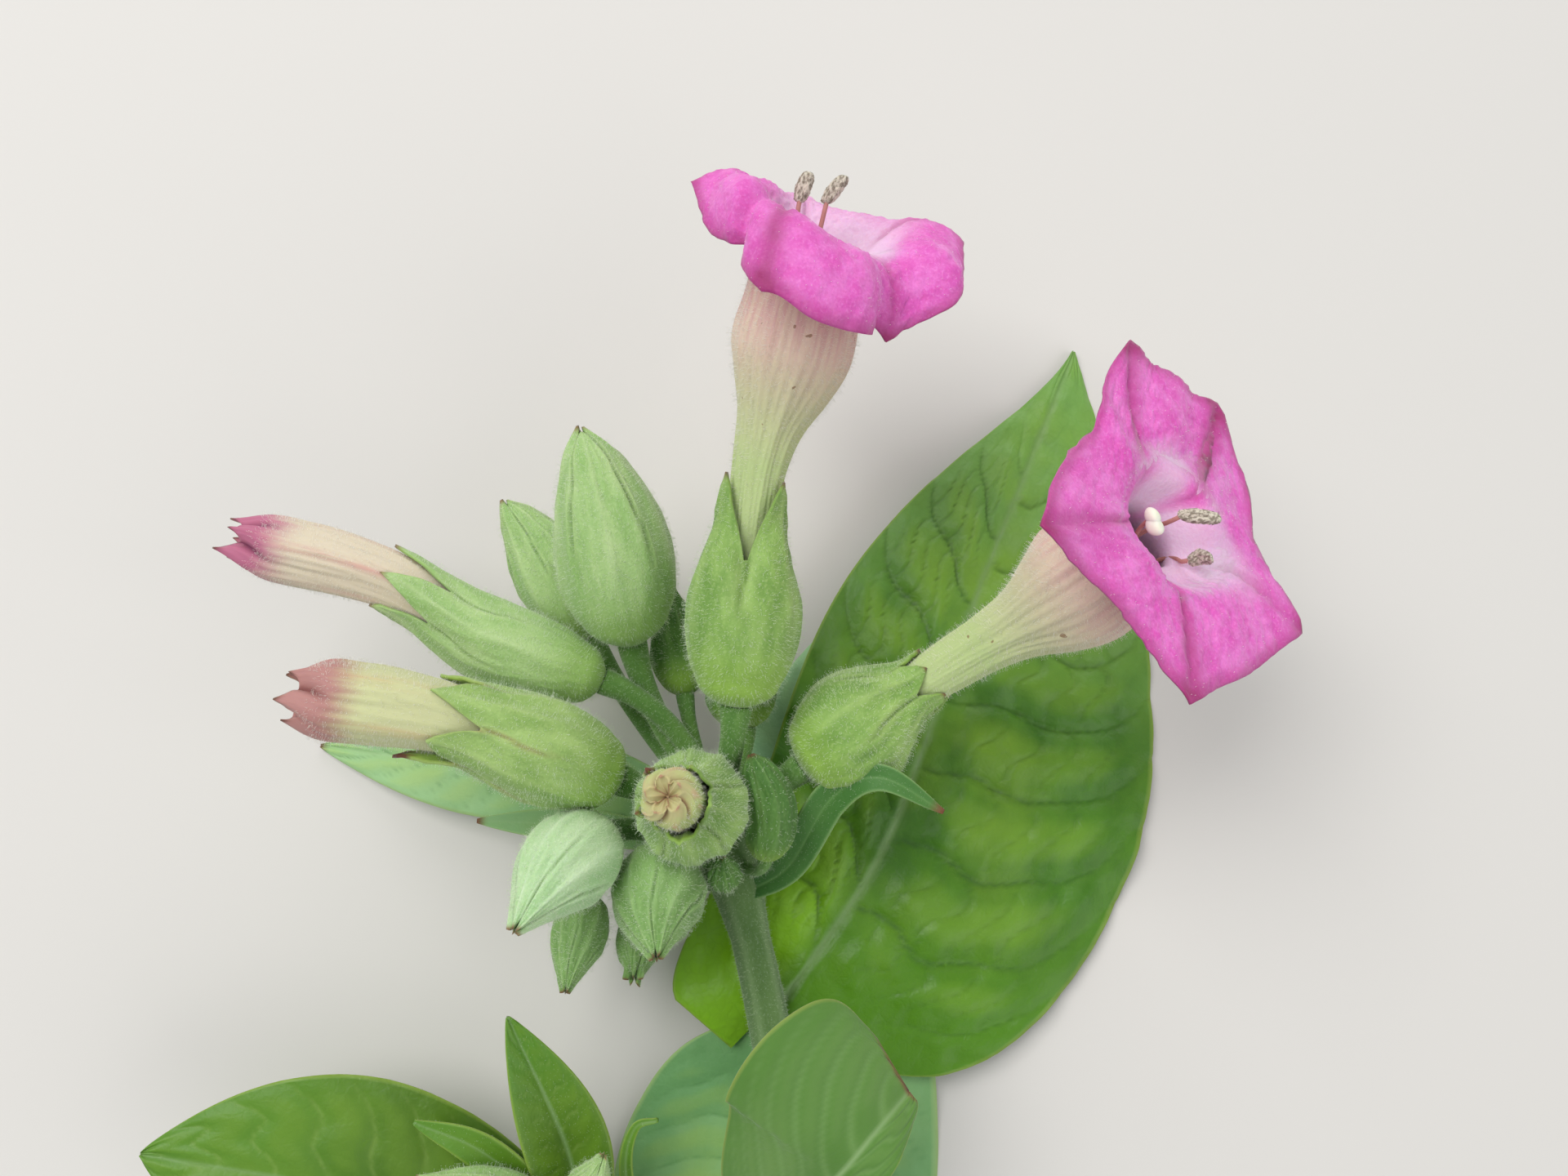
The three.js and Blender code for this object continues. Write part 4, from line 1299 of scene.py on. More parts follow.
@dataclass
class Limb:
    """How the limb of an open corolla spreads.

    Lists of ten go round the bloom: a lobe's tip, the middle of the edge up to the next lobe,
    the next tip and so on.

    Args:
        turn: degrees that the lobes are turned round the axis.
        dip: how far below the axis's end the limb starts.
        throat: the radius at which it starts.
        lean: degrees that its edge is turned round the axis.
        reach: how far its edge would lie from the axis if the limb were flat and five-sided.
        slopes: how steeply it rises at the throat, at one and two thirds and at its edge.
        pale: the share of the way to its edge that the throat's pale colour reaches.
        lip: how much narrower the throat is inside than outside.
        fold: how dark the painted shade in the crease of each lobe is.
        sink: how far the limb's upper face sinks at the throat.
        vault: how high the petal is vaulted between two creases.
        crease: how deep the crease of each lobe is.
        ruffle: how deep the folds at its edge are.
        ridges: where long folds rise, how high they are and how wide.
        notches: where the edge is cut back, by what share and how widely.
    """

    turn: float
    dip: float
    throat: Sequence[float]
    lean: Sequence[float]
    reach: Sequence[float]
    slopes: Sequence[tuple[float, float, float, float]]
    pale: Sequence[float]
    lip: Sequence[float]
    fold: Sequence[float] = (0.5,) * 5
    sink: float = 1.0
    vault: float = 0.4
    crease: float = 0.4
    ruffle: float = 0.1
    ridges: Sequence[Triple] = ()
    notches: Sequence[Triple] = ()
    CRINKLE = 0.09
    CREASE_WIDTH = 0.03
    LIP_SHARE = 0.45

    @staticmethod
    def at(values: Sequence[float], part: Array) -> Array:
        """The value at each part of the way round, going smoothly from one station to the next."""
        table = np.array(values, float)
        along = part * len(table) / PARTS
        station = np.floor(along).astype(int) % len(table)
        return mix(table[station], table[(station + 1) % len(table)], smooth(along % 1, 0, 1))

    @staticmethod
    def beside(part: Array, place: float, width: float) -> Array:
        """1 at a place of the way round, falling to 0 on both sides."""
        return bump((part - place + PARTS / 2) % PARTS - PARTS / 2, width)

    def _slope(self, part: Array, share: Array) -> Array:
        """The limb's slope in radians, for each share and part."""
        rows = np.stack([self.at(column, part) for column in np.radians(np.array(self.slopes)).T])
        where = share * (len(rows) - 1)
        low = np.minimum(where.astype(int), len(rows) - 2)
        return mix(rows[low], rows[low + 1], (where - low)[:, None])

    def _lift(self, part: Array, share: Array) -> Array:
        """How far creases, folds and vaults raise the petal above its slope."""
        over = share[:, None]
        lift = -self.vault * np.cos(2 * math.pi * part) * np.sin(math.pi * over)
        crease = bump(np.abs((part + 0.5) % 1 - 0.5), self.CREASE_WIDTH)
        lift -= self.crease * crease * smooth(over, 0.0, 0.3)
        for place, height, width in self.ridges:
            lift += height * self.beside(part, place, width) * smooth(over, 0.0, 0.4)
        waves = np.sin(2 * math.pi * (2 * part + 0.3)) + 0.6 * np.sin(2 * math.pi * (3 * part + 0.1))
        fine = crinkle(part / PARTS, over, 3, 1.1) + 0.35 * crinkle(part / PARTS, over, 4, 1.8)
        return lift + self.ruffle * waves * over ** 2 + self.CRINKLE * fine * smooth(over, 0.0, 0.4)

    def spread(self, part: Array, share: Array, length: float, layer: float) -> tuple[Array, ...]:
        """The limb's places.

        Args:
            part: each column's place round the bloom, in parts.
            share: rows of shares from the throat to the edge, in rising order.
            length: the length of the axis.
            layer: millimetres above the petal's upper face.

        Returns:
            The angle, the distance from the axis and the height of each place.
        """
        half = math.pi / PARTS
        five_sided = math.cos(half) / np.cos((part % 1) * 2 * half - half)
        throat = self.at(self.throat, part)
        reach = self.at(self.reach, part) * five_sided - throat
        for place, depth, width in self.notches:
            reach *= 1 - depth * self.beside(part, place, width)
        slope = self._slope(part, share)
        step = np.diff(share, prepend=share[0])[:, None] * reach[None]
        out = throat + np.cumsum(step * np.cos(slope), axis=0)
        rise = np.cumsum(step * np.sin(slope), axis=0) - self.dip
        if not layer:
            funnel = (1 - share[:, None] / self.LIP_SHARE).clip(0, 1) ** 2
            out -= self.at(self.lip, part) * funnel
            rise -= self.sink * funnel
        lift = layer + self._lift(part, share)
        out -= lift * np.sin(slope)
        rise += lift * np.cos(slope)
        angle = part * 2 * half + np.radians(self.at(self.lean, part)) * share[:, None]
        return angle + math.radians(self.turn), out, length + rise


@dataclass
class Corolla:
    """An open corolla: a downy tube that widens to the throat and spreads into five lobes.

    Args:
        node: the solid that it stands for.
        route: its axis.
        calyx_length: the length of its calyx, whose floor it starts above.
        limb: how its lobes spread.
        girth: how wide its tube is, as a share of the usual width.
    """

    node: str
    route: Route
    calyx_length: float
    limb: Limb
    girth: float
    TUBE_ROWS = 60
    LIMB_ROWS = 50
    INNER_ROWS = 30
    COLUMNS = 200
    ROWS_TO_THROAT = 1.2
    PETAL = 0.26
    FULL_BLUSH = 0.3
    DARK_EDGE = 0.6
    TUBE_DOWN = Down(6.0, 0.62, 0.3)
    LIMB_DOWN = Down(0.3, 0.12, 1.0)

    def shape(self) -> Rings:
        """The rings: up the tube, under the limb, back over it and down the throat."""
        limb, length = self.limb, self.route.length
        part = np.arange(self.COLUMNS) * PARTS / self.COLUMNS
        angle = part * 2 * math.pi / PARTS + math.radians(limb.turn)
        mouth = limb.at(limb.throat, part)
        up = np.linspace(0, 1, self.TUBE_ROWS)[:-1]
        down = np.linspace(1, THROAT_FLOOR, self.INNER_ROWS)[1:]
        share = np.linspace(0, 1, self.LIMB_ROWS) ** self.ROWS_TO_THROAT
        tube = self._tube(angle, up, 0.0, mouth)
        under = limb.spread(part, share, length, -self.PETAL)
        over = [rows[::-1] for rows in limb.spread(part, share, length, 0.0)]
        _, out, z = self._tube(angle, down, self.PETAL, mouth - limb.at(limb.lip, part))
        inside = (angle, out, z - limb.sink * smooth(down, 0.86, 1.0)[:, None])
        zones = [np.broadcast_arrays(*zone) for zone in (tube, under, over, inside)]
        angle, out, z = (np.concatenate(rows) for rows in zip(*zones))
        marks = self._marks(part, up, share, down)
        return Rings.along(self.route, out * np.cos(angle), out * np.sin(angle), z, marks, len(up))

    def _marks(self, part: Array, up: Array, share: Array, down: Array) -> dict[str, Array]:
        """The marks of the tube, the limb's two faces and the throat, by their shares."""
        none, limb = np.zeros(self.LIMB_ROWS), self.limb
        along = np.concatenate([up, none + 1, none + 1, down])[:, None]
        spread = np.concatenate([up * 0, share, share[::-1], down * 0])[:, None]
        deep = np.concatenate([up * 0, none, none, smooth(down, 1.0, 0.8)])[:, None]
        is_limb = np.concatenate([smooth(up, 0.95, 1.0), none + 1, none + 1, down * 0 + 1])[:, None]
        pale = limb.at(limb.pale, part)
        blush = (1 - smooth(spread / pale, 0.0, 1.0)) * np.clip(pale / self.FULL_BLUSH, 0, 1)
        beside = np.abs((part + 0.5) % 1 - 0.5)[None]
        folds = limb.at(limb.fold, part)
        # Painted shade along each lobe's crease; the limb's darker edge is added next.
        fold = bump(beside, 0.035 + 0.05 * folds) * folds * smooth(spread, 0.0, 0.25)
        fold = np.clip(fold + smooth(spread, 0.84, 1.0) * self.DARK_EDGE, 0, 1)
        return {"along": along, "blush": mix(blush, 1.0, deep), "limb": is_limb, "fold": fold}

    def _tube(self, angle: Array, share: Array, inset: float, mouth: Array) -> tuple[Array, ...]:
        """The tube's places.

        Args:
            angle: each column's angle.
            share: rows of shares of the tube's length.
            inset: how far inside its outer face they lie.
            mouth: each column's radius at the throat.

        Returns:
            The angle, the distance from the axis and the height of each place.
        """
        over = share[:, None]
        start = CALYX_FLOOR * self.calyx_length + GAP
        end = self.route.length - self.limb.dip
        ridge = 0.12 * np.cos(PARTS * 2 * angle) + 0.05 * np.cos(PARTS * 6 * angle)
        ridge = ridge + 0.06 * crinkle(angle / (2 * math.pi), over, 9, 0.6)
        out = rounded(TUBE_PROFILE, over) * self.girth + ridge * smooth(over, 0.2, 0.6)
        out = mix(out, mouth, smooth(over, 0.84, 1.0)) - inset
        return angle, out, mix(start, end, over) * np.ones_like(out)

    def build(self, coat: Hairs) -> None:
        """Makes the corolla, the down on its tube and the few hairs on the limb's upper face."""
        rings = self.shape()
        Piece.dress(f"{self.node}_petals", rings, PINK_PETAL, "corolla_pink", self.node)
        coat.grow(rings, self.TUBE_DOWN)
        first = self.TUBE_ROWS - 1 + self.LIMB_ROWS
        upper = rings.places[first:first + self.LIMB_ROWS]
        coat.grow(Rings(upper, {}, self.LIMB_ROWS), self.LIMB_DOWN)


@dataclass
class Stamens:
    """Five stamens and a style with a two-lobed stigma, on a base in the throat.

    Args:
        node: the solid that it stands for.
        route: the flower's axis.
        anthers: for each one, millimetres to the side, to the front and above the axis's end,
            and how far it leans to the side and to the front for each millimetre of its length.
        stigma: the same three distances for the stigma.
    """

    node: str
    route: Route
    anthers: Sequence[Anther]
    stigma: Place
    FILAMENT = 0.24
    ANTHER_LENGTH = 3.1
    ANTHER_RADIUS = 0.62
    STIGMA_RADIUS = 0.85
    BASE_RADIUS = 1.6
    BASE_HEIGHT = 0.8
    CLEFT = 0.35
    THREAD_ROWS = 24
    THREAD_COLUMNS = 12
    HEAD_ROWS = 31
    HEAD_COLUMNS = 40

    def thread(self, x: float, y: float, height: float) -> Rings:
        """A filament or a style, from the base to its height."""
        floor = THROAT_FLOOR * self.route.length + GAP
        foot = (x * 0.2, y * 0.2, floor)
        knee = (x * 0.65, y * 0.65, mix(floor, height, 0.6))
        radius = np.full(self.THREAD_ROWS, self.FILAMENT)
        rings = stick(Route((foot, knee, (x, y, height)), TOP), radius, self.THREAD_COLUMNS)
        return Rings(self.route.wrap(*np.moveaxis(rings.places, -1, 0)), {})

    def head(
        self, at: Place, long: float, wide: float, cleft: float = 0.0,
        lean: tuple[float, float] = (0, 0),
    ) -> Rings:
        """An anther or a stigma lobe: an egg shape, which may have clefts and frayed rims.

        Args:
            at: its middle, to the side, to the front and along the flower's axis.
            long: its length.
            wide: its radius.
            cleft: how deep its clefts are, as a share of the radius.
            lean: how far it leans to the side and to the front for each millimetre of its length.

        Returns:
            Its rings.
        """
        pole = np.linspace(-0.49, 0.49, self.HEAD_ROWS)[:, None] * math.pi
        angle = 2 * math.pi * np.arange(self.HEAD_COLUMNS)[None] / self.HEAD_COLUMNS
        lobes = 1 - cleft * bump(np.cos(angle), 0.3) + 0.5 * cleft * bump(np.sin(angle), 0.25)
        lobes = lobes * (1 + 0.25 * cleft * crinkle(angle / (2 * math.pi), pole, 6, 0.5))
        out = wide * np.cos(pole) ** 0.6 * lobes
        z = long / 2 * np.sin(pole) * np.ones_like(out)
        x = 1.1 * out * np.cos(angle) + lean[0] * z + at[0]
        y = 0.8 * out * np.sin(angle) + lean[1] * z + at[1]
        return Rings(self.route.wrap(x, y, z + at[2]), {"straight": np.stack([x, y, z], -1)})

    def build(self) -> None:
        """Makes the base and threads, the anthers and the stigma."""
        names = ("threads", "anthers", "stigma")
        threads, anthers, stigma = (Piece(f"{self.node}_{name}") for name in names)
        length = self.route.length
        base = (0.0, 0.0, THROAT_FLOOR * length + GAP + self.BASE_HEIGHT / 2)
        threads.add_rings(Rings(self.head(base, self.BASE_HEIGHT, self.BASE_RADIUS).places, {}))
        for x, y, rise, side, front in self.anthers:
            below = self.ANTHER_LENGTH * 0.4
            threads.add_rings(self.thread(x - side * below, y - front * below, length + rise - below))
            sizes = (self.ANTHER_LENGTH, self.ANTHER_RADIUS, self.CLEFT)
            anthers.add_rings(self.head((x, y, length + rise), *sizes, (side, front)))
        x, y, rise = self.stigma
        threads.add_rings(self.thread(x, y, length + rise))
        for side in (-0.6, 0.6):
            at = (x + side * self.STIGMA_RADIUS, y, length + rise)
            stigma.add_rings(self.head(at, self.STIGMA_RADIUS * 1.5, self.STIGMA_RADIUS))
        threads.build(THREAD_PINK, "stamen_cream", [self.node])
        anthers.build(ANTHER_GREY, "stamen_cream")
        stigma.build(STIGMA_CREAM, "stamen_cream")


class Vein(Enum):
    """How far a leaf's side veins climb on the left and the right, evenly and towards the edge."""

    ARCHED = ((0.14, 0.06), (-0.03, 0.17))
    EVEN = ((0.1, 0.12), (0.1, 0.12))
    STEEP = ((0.5, 0.3), (0.35, 0.2))
    NONE = ()


@dataclass
class Leaf:
    """A leaf or a bract: a thin blade on its midrib, with the same outline as its solid.

    Args:
        node: the solid that it stands for.
        midrib: the places that the midrib passes.
        facing: where the upper face turns to.
        half: the greatest half-width to the left and to the right.
        widest: where along the midrib each of these lies.
        foot: the half-width at the base.
        round: the outline at the base, on the left and the right. Less is fuller.
        point: the same at the tip.
        fold: the slope of the halves.
        heel: how far the base's corners reach back.
        droop: how far they hang down.
        shoulder: how far the tip's corners reach forward.
        wave: how deep the edge's waves are.
        rests: whether its lowest point lies on the floor.
        finish: its skin.
        veins: how its side veins run.
        pairs: how many side veins each half has.
        relief: how deep the veins lie.
        down: hairs to a square millimetre.
        brown: how much of the tip is dry.
        rows: how many rings it has.
        columns: how many points go across it.
        thickness: how thick the blade is.
        vein_width: how wide a side vein is, as a share of the distance to the next.
    """

    node: str
    midrib: Sequence[Place]
    facing: Place
    half: tuple[float, float]
    widest: tuple[float, float]
    foot: float
    round: tuple[float, float]
    point: tuple[float, float]
    fold: float
    heel: tuple[float, float] = (0.0, 0.0)
    droop: tuple[float, float] = (0.0, 0.0)
    shoulder: float = 0.0
    wave: float = 0.0
    rests: bool = False
    finish: Finish = BRACT_LEAF
    veins: Vein = Vein.ARCHED
    pairs: int = 8
    relief: float = 0.0
    down: float = 0.0
    brown: float = 0.0
    rows: int = 80
    columns: int = 25
    thickness: float = 0.4
    vein_width: float = 0.035
    CROSS = 6.0
    RIM = 0.5
    HEEL_POWER = 4
    RIB_WIDTH = 0.1
    RIB_WIDENING = 0.011
    THIN_EDGE = 0.6
    VEIN_DEPTH, RIB_DEPTH, CROSS_DEPTH, DIMPLE_DEPTH = 0.4, 0.5, 0.45, 0.22
    HAIR = 0.2

    def shape(self) -> Rings:
        """The blade's rings: across its face from left to right, and back across its underside."""
        route = Route(self.midrib, np.array(self.facing, float))
        length = route.length
        half_columns = np.linspace(1, -1, self.columns)
        across = np.concatenate([half_columns, half_columns[::-1]])[None]
        top = np.concatenate([np.ones(self.columns), -np.ones(self.columns)])[None]
        share = np.linspace(0, 1, self.rows)[:, None]
        right = (across < 0).astype(int)
        exponent = math.log(0.5) / np.log(np.array(self.widest))[right]
        fullness = mix(np.array(self.round)[right], np.array(self.point)[right], share)
        outline = np.maximum(np.sin(math.pi * share ** exponent), 0) ** fullness
        half = mix(mix(self.foot, LEAF_TIP, share), np.array(self.half)[right], outline)
        edge = across ** 2
        base = (1 - share) ** self.HEEL_POWER
        heel = np.array(self.heel)[right] * base
        z = share * length + edge * (self.shoulder * share * outline - heel)
        x = across * half
        wave = np.sin(2 * math.pi * WAVES_PER_LEAF * share)
        y = self.fold * np.abs(across) * half + self.wave * edge * wave
        y = y - np.array(self.droop)[right] * np.abs(across) * base
        fading = 0.85 * smooth(share, 0.7, 0.88) * (self.veins is Vein.ARCHED)
        shown = smooth(share, 0.04, 0.16) * (1 - fading)
        vein, swell = (shown * each for each in self._veins(np.abs(across), share, right))
        rib = bump(x, self.RIB_WIDTH + self.RIB_WIDENING * max(self.half)) * (1 - 0.6 * share)
        cross = self._cross_veins(np.abs(across), share, right) * shown
        sunk = self.VEIN_DEPTH * vein
        y = y + self.relief * (swell * (1 - self.CROSS_DEPTH * cross) - sunk - self.RIB_DEPTH * rib)
        dents = dimples(x, z, 5, 7.0) + 0.4 * dimples(x, z, 6, 3.0)
        y = y + self.relief * self.DIMPLE_DEPTH * dents
        thin = 1 - self.THIN_EDGE * smooth(np.abs(across), 0.85, 1.0)
        y = y + top * self.thickness / 2 * thin - (1 - top) * rib * self.thickness * 0.6
        rim = self.RIM / (max(self.half) + self.RIM)
        marks = {
            # Where the finish makes them darker, the veins are also painted shade in their grooves.
            "vein": vein * (1 - smooth(np.abs(across), 0.9, 1.0)),
            "net": cross * (1 - vein),
            "band": smooth(swell, 0.6, 1.0),
            "middle": 1 - np.abs(across),
            "rib": np.clip(rib * 1.3, 0, 1),
            "rim": smooth(np.abs(across), 1 - rim, 1.0),
            "along": share,
            "glow": smooth(across, 0.0, 0.3) * (1 - smooth(share, 0.1, 0.32)),
            "point": smooth(share, 1 - self.brown, 1.0) if self.brown else 0.0,
        }
        rings = Rings.along(route, x, y, z, marks, self.rows)
        if self.rests:
            rings.places[..., 2] -= rings.places[..., 2].min()
        return rings

    def _phase(self, across: Array, share: Array, right: Array) -> Array:
        """Where each place lies among the side veins, which are at the whole numbers."""
        even, late = np.array(self.veins.value).T
        start = share - (even[right] * across + late[right] * across ** 3) * (1 - 0.4 * share)
        wander = 0.12 * crinkle(across * 0.13 + 0.5 * right, share * 0.3, 8, 0.3)
        return start * self.pairs + 0.35 * right + wander

    def _veins(self, across: Array, share: Array, right: Array) -> tuple[Array, Array]:
        """How near each place is to a side vein, and how far the blade swells between two."""
        if self.veins is Vein.NONE:
            return 0 * across * share, 0 * across * share
        near = np.abs((self._phase(across, share, right) + 0.5) % 1 - 0.5)
        fade = smooth(across, 0.0, 0.04) * (1 - 0.6 * smooth(across, 0.5, 1.0))
        inward = smooth(across, 0.0, 0.25) * (1 - 0.6 * smooth(across, 0.7, 1.0))
        swell = np.sin(math.pi * near) ** 0.8 * inward
        return bump(near, self.vein_width) * fade, swell

    def _cross_veins(self, across: Array, share: Array, right: Array) -> Array:
        """How near each place is to one of the faint veins from one side vein to the next."""
        if self.veins is not Vein.ARCHED:
            return 0 * across * share
        phase = self._phase(across, share, right)
        field_at = np.floor(phase)
        between = across * self.CROSS + 0.37 * field_at + 0.35 * np.sin(2 * math.pi * phase)
        near = np.abs((between + 0.5) % 1 - 0.5)
        return bump(near, 0.07) * smooth(across, 0.05, 0.2) * (1 - smooth(across, 0.75, 0.95))

    def build(self, coat: Hairs) -> None:
        """Makes the blade and its down."""
        rings = self.shape()
        Piece.dress(f"{self.node}_blade", rings, self.finish, "leaf_green", self.node)
        if self.down:
            coat.grow(rings, Down(self.down, self.HAIR, headed=0.0))


@dataclass
class Bloom:
    """What every bloom has: a stalk, and an axis on which its pieces stand.

    Args:
        node: the name that its solids' names start with.
        root: the share of the stem's length at which the stalk starts.
        axis: the places that the axis passes.
        radius: the calyx's widest radius.
    """

    node: str
    root: float
    axis: Sequence[Place]
    radius: float

    def stand(self, holder: Route, coats: Coats) -> Route:
        """Makes the stalk from its stem and returns the axis."""
        route = Route(self.axis)
        Stalk(f"{self.node}_stalk", holder, route, self.root, self.radius).build(coats)
        return route


@dataclass
class Flower(Bloom):
    """An open flower: stalk, calyx, corolla and stamens on one axis.

    Args:
        calyx_length: the calyx's length.
        calyx_turn: degrees that the calyx is turned round the axis.
        mouth: the calyx's radius at its mouth, as a share of its widest.
        limb: how the lobes spread.
        anthers: where the anthers are, as in Stamens.
        stigma: where the stigma is.
        notch, curls, front, keel, crumple: the calyx's form, as in Cup.
        girth: the tube's width, as in Corolla.
    """

    calyx_length: float
    calyx_turn: float
    mouth: float
    limb: Limb
    anthers: Sequence[Anther]
    stigma: Place
    notch: float = 0.6
    curls: Sequence[float] = (0.1, 0.0, 0.2, 0.1, 0.3)
    front: float = 0.0
    keel: float = 0.1
    girth: float = 1.0
    crumple: float = 0.07

    def build(self, holder: Route, coats: Coats) -> None:
        """Makes the whole flower on its stem."""
        calyx_route = self.stand(holder, coats)
        petal_route = Route(self.axis, UP)
        Cup(
            f"{self.node}_calyx", calyx_route, self.radius, self.calyx_length, self.calyx_turn,
            calyx_profile(self.mouth), self.notch, curls=self.curls, front=self.front,
            keel=self.keel,
            crumple=self.crumple,
        ).build(coats.calyces)
        Corolla(
            f"{self.node}_corolla", petal_route, self.calyx_length, self.limb, self.girth,
        ).build(coats.tubes)
        Stamens(f"{self.node}_stamens", petal_route, self.anthers, self.stigma).build()


@dataclass
class OpeningBud(Bloom):
    """A bud that is about to open: stalk, calyx and furled corolla.

    Args:
        calyx_length: the calyx's length.
        calyx_turn: degrees that the calyx and the corolla are turned round the axis.
        mouth: the calyx's radius at its mouth, as a share of its widest.
        furled_radius: the corolla's widest radius.
        finish: the corolla's skin.
        curls, teeth, hair, notch, keel, crumple: the calyx's form, as in Cup.
        skin: the calyx's skin.
        lean, twist, depth: the corolla's form, as in Furled.
        parting: the share of the corolla's length at which its lobes part.
    """

    calyx_length: float
    calyx_turn: float
    mouth: float
    furled_radius: float
    finish: Finish
    curls: Sequence[float] = (0.1, 0.0, 0.3, 0.1, 0.2)
    teeth: Sequence[float] = (1.0, 1.0, 1.0, 1.0, 1.0)
    hair: float = 0.5
    notch: float = 0.7
    keel: float = 0.12
    skin: Finish = CALYX_SKIN
    lean: tuple[float, float] = (0.0, 0.0)
    twist: float = 0.35
    depth: float = 0.82
    parting: float = 0.955
    crumple: float = 0.07

    def build(self, holder: Route, coats: Coats) -> None:
        """Makes the bud on its stem."""
        route = self.stand(holder, coats)
        Cup(
            f"{self.node}_calyx", route, self.radius, self.calyx_length, self.calyx_turn,
            calyx_profile(self.mouth), self.notch, curls=self.curls, teeth=self.teeth,
            hair=self.hair,
            keel=self.keel, finish=self.skin, crumple=self.crumple,
        ).build(coats.calyces)
        Furled(
            f"{self.node}_corolla", route, self.furled_radius, self.calyx_length, self.calyx_turn,
            self.finish,
            self.lean, self.twist, self.depth, self.parting,
        ).build(coats.tubes)


@dataclass
class ClosedBud(Bloom):
    """A closed bud on its stalk: a calyx whose teeth meet at the tip.

    Args:
        turn: degrees that it is turned round the axis.
        keel: how far its margins stand out, as a share of its radius.
        curls, finish, hair, notch, teeth, profile, down: its form and looks, as in Cup.
    """

    turn: float = 0.0
    curls: Sequence[float] = (0.25, 0.05, 0.3, 0.1, 0.2)
    finish: Finish = BUD_SKIN
    hair: float = 0.45
    notch: float = 0.93
    teeth: Sequence[float] = (1.0, 1.0, 1.0, 1.0, 1.0)
    keel: float = 0.09
    profile: Pairs = BUD_PROFILE
    down: float = 5.5

    def build(self, holder: Route, coats: Coats) -> None:
        """Makes the bud on its stem."""
        route = self.stand(holder, coats)
        Cup(
            self.node, route, self.radius, route.length, self.turn, self.profile, self.notch,
            keel=self.keel * self.radius, curls=self.curls, teeth=self.teeth, finish=self.finish,
            hair=self.hair, down=self.down,
        ).build(coats.buds)


@dataclass
class Shoot:
    """The whole flowering top: the stems and everything that grows on them.

    Args:
        stem: the main stem.
        side_shoot: the short one beside it.
        flowers, opening_buds, buds: what blooms on the main stem.
        side_buds: what blooms on the side shoot.
        leaves: the leaves and the bracts.
    """

    stem: Stem
    side_shoot: Stem
    flowers: Sequence[Flower]
    opening_buds: Sequence[OpeningBud]
    buds: Sequence[ClosedBud]
    side_buds: Sequence[ClosedBud]
    leaves: Sequence[Leaf]

    def build(self) -> None:
        """Makes every piece, and the coats of hair last."""
        coats = Coats()
        self.stem.build(coats)
        self.side_shoot.build(coats)
        stem, side = self.stem.route(), self.side_shoot.route()
        for bloom in (*self.flowers, *self.opening_buds, *self.buds):
            bloom.build(stem, coats)
        for bud in self.side_buds:
            bud.build(side, coats)
        for leaf in self.leaves:
            leaf.build(coats.leaves)
        coats.build()


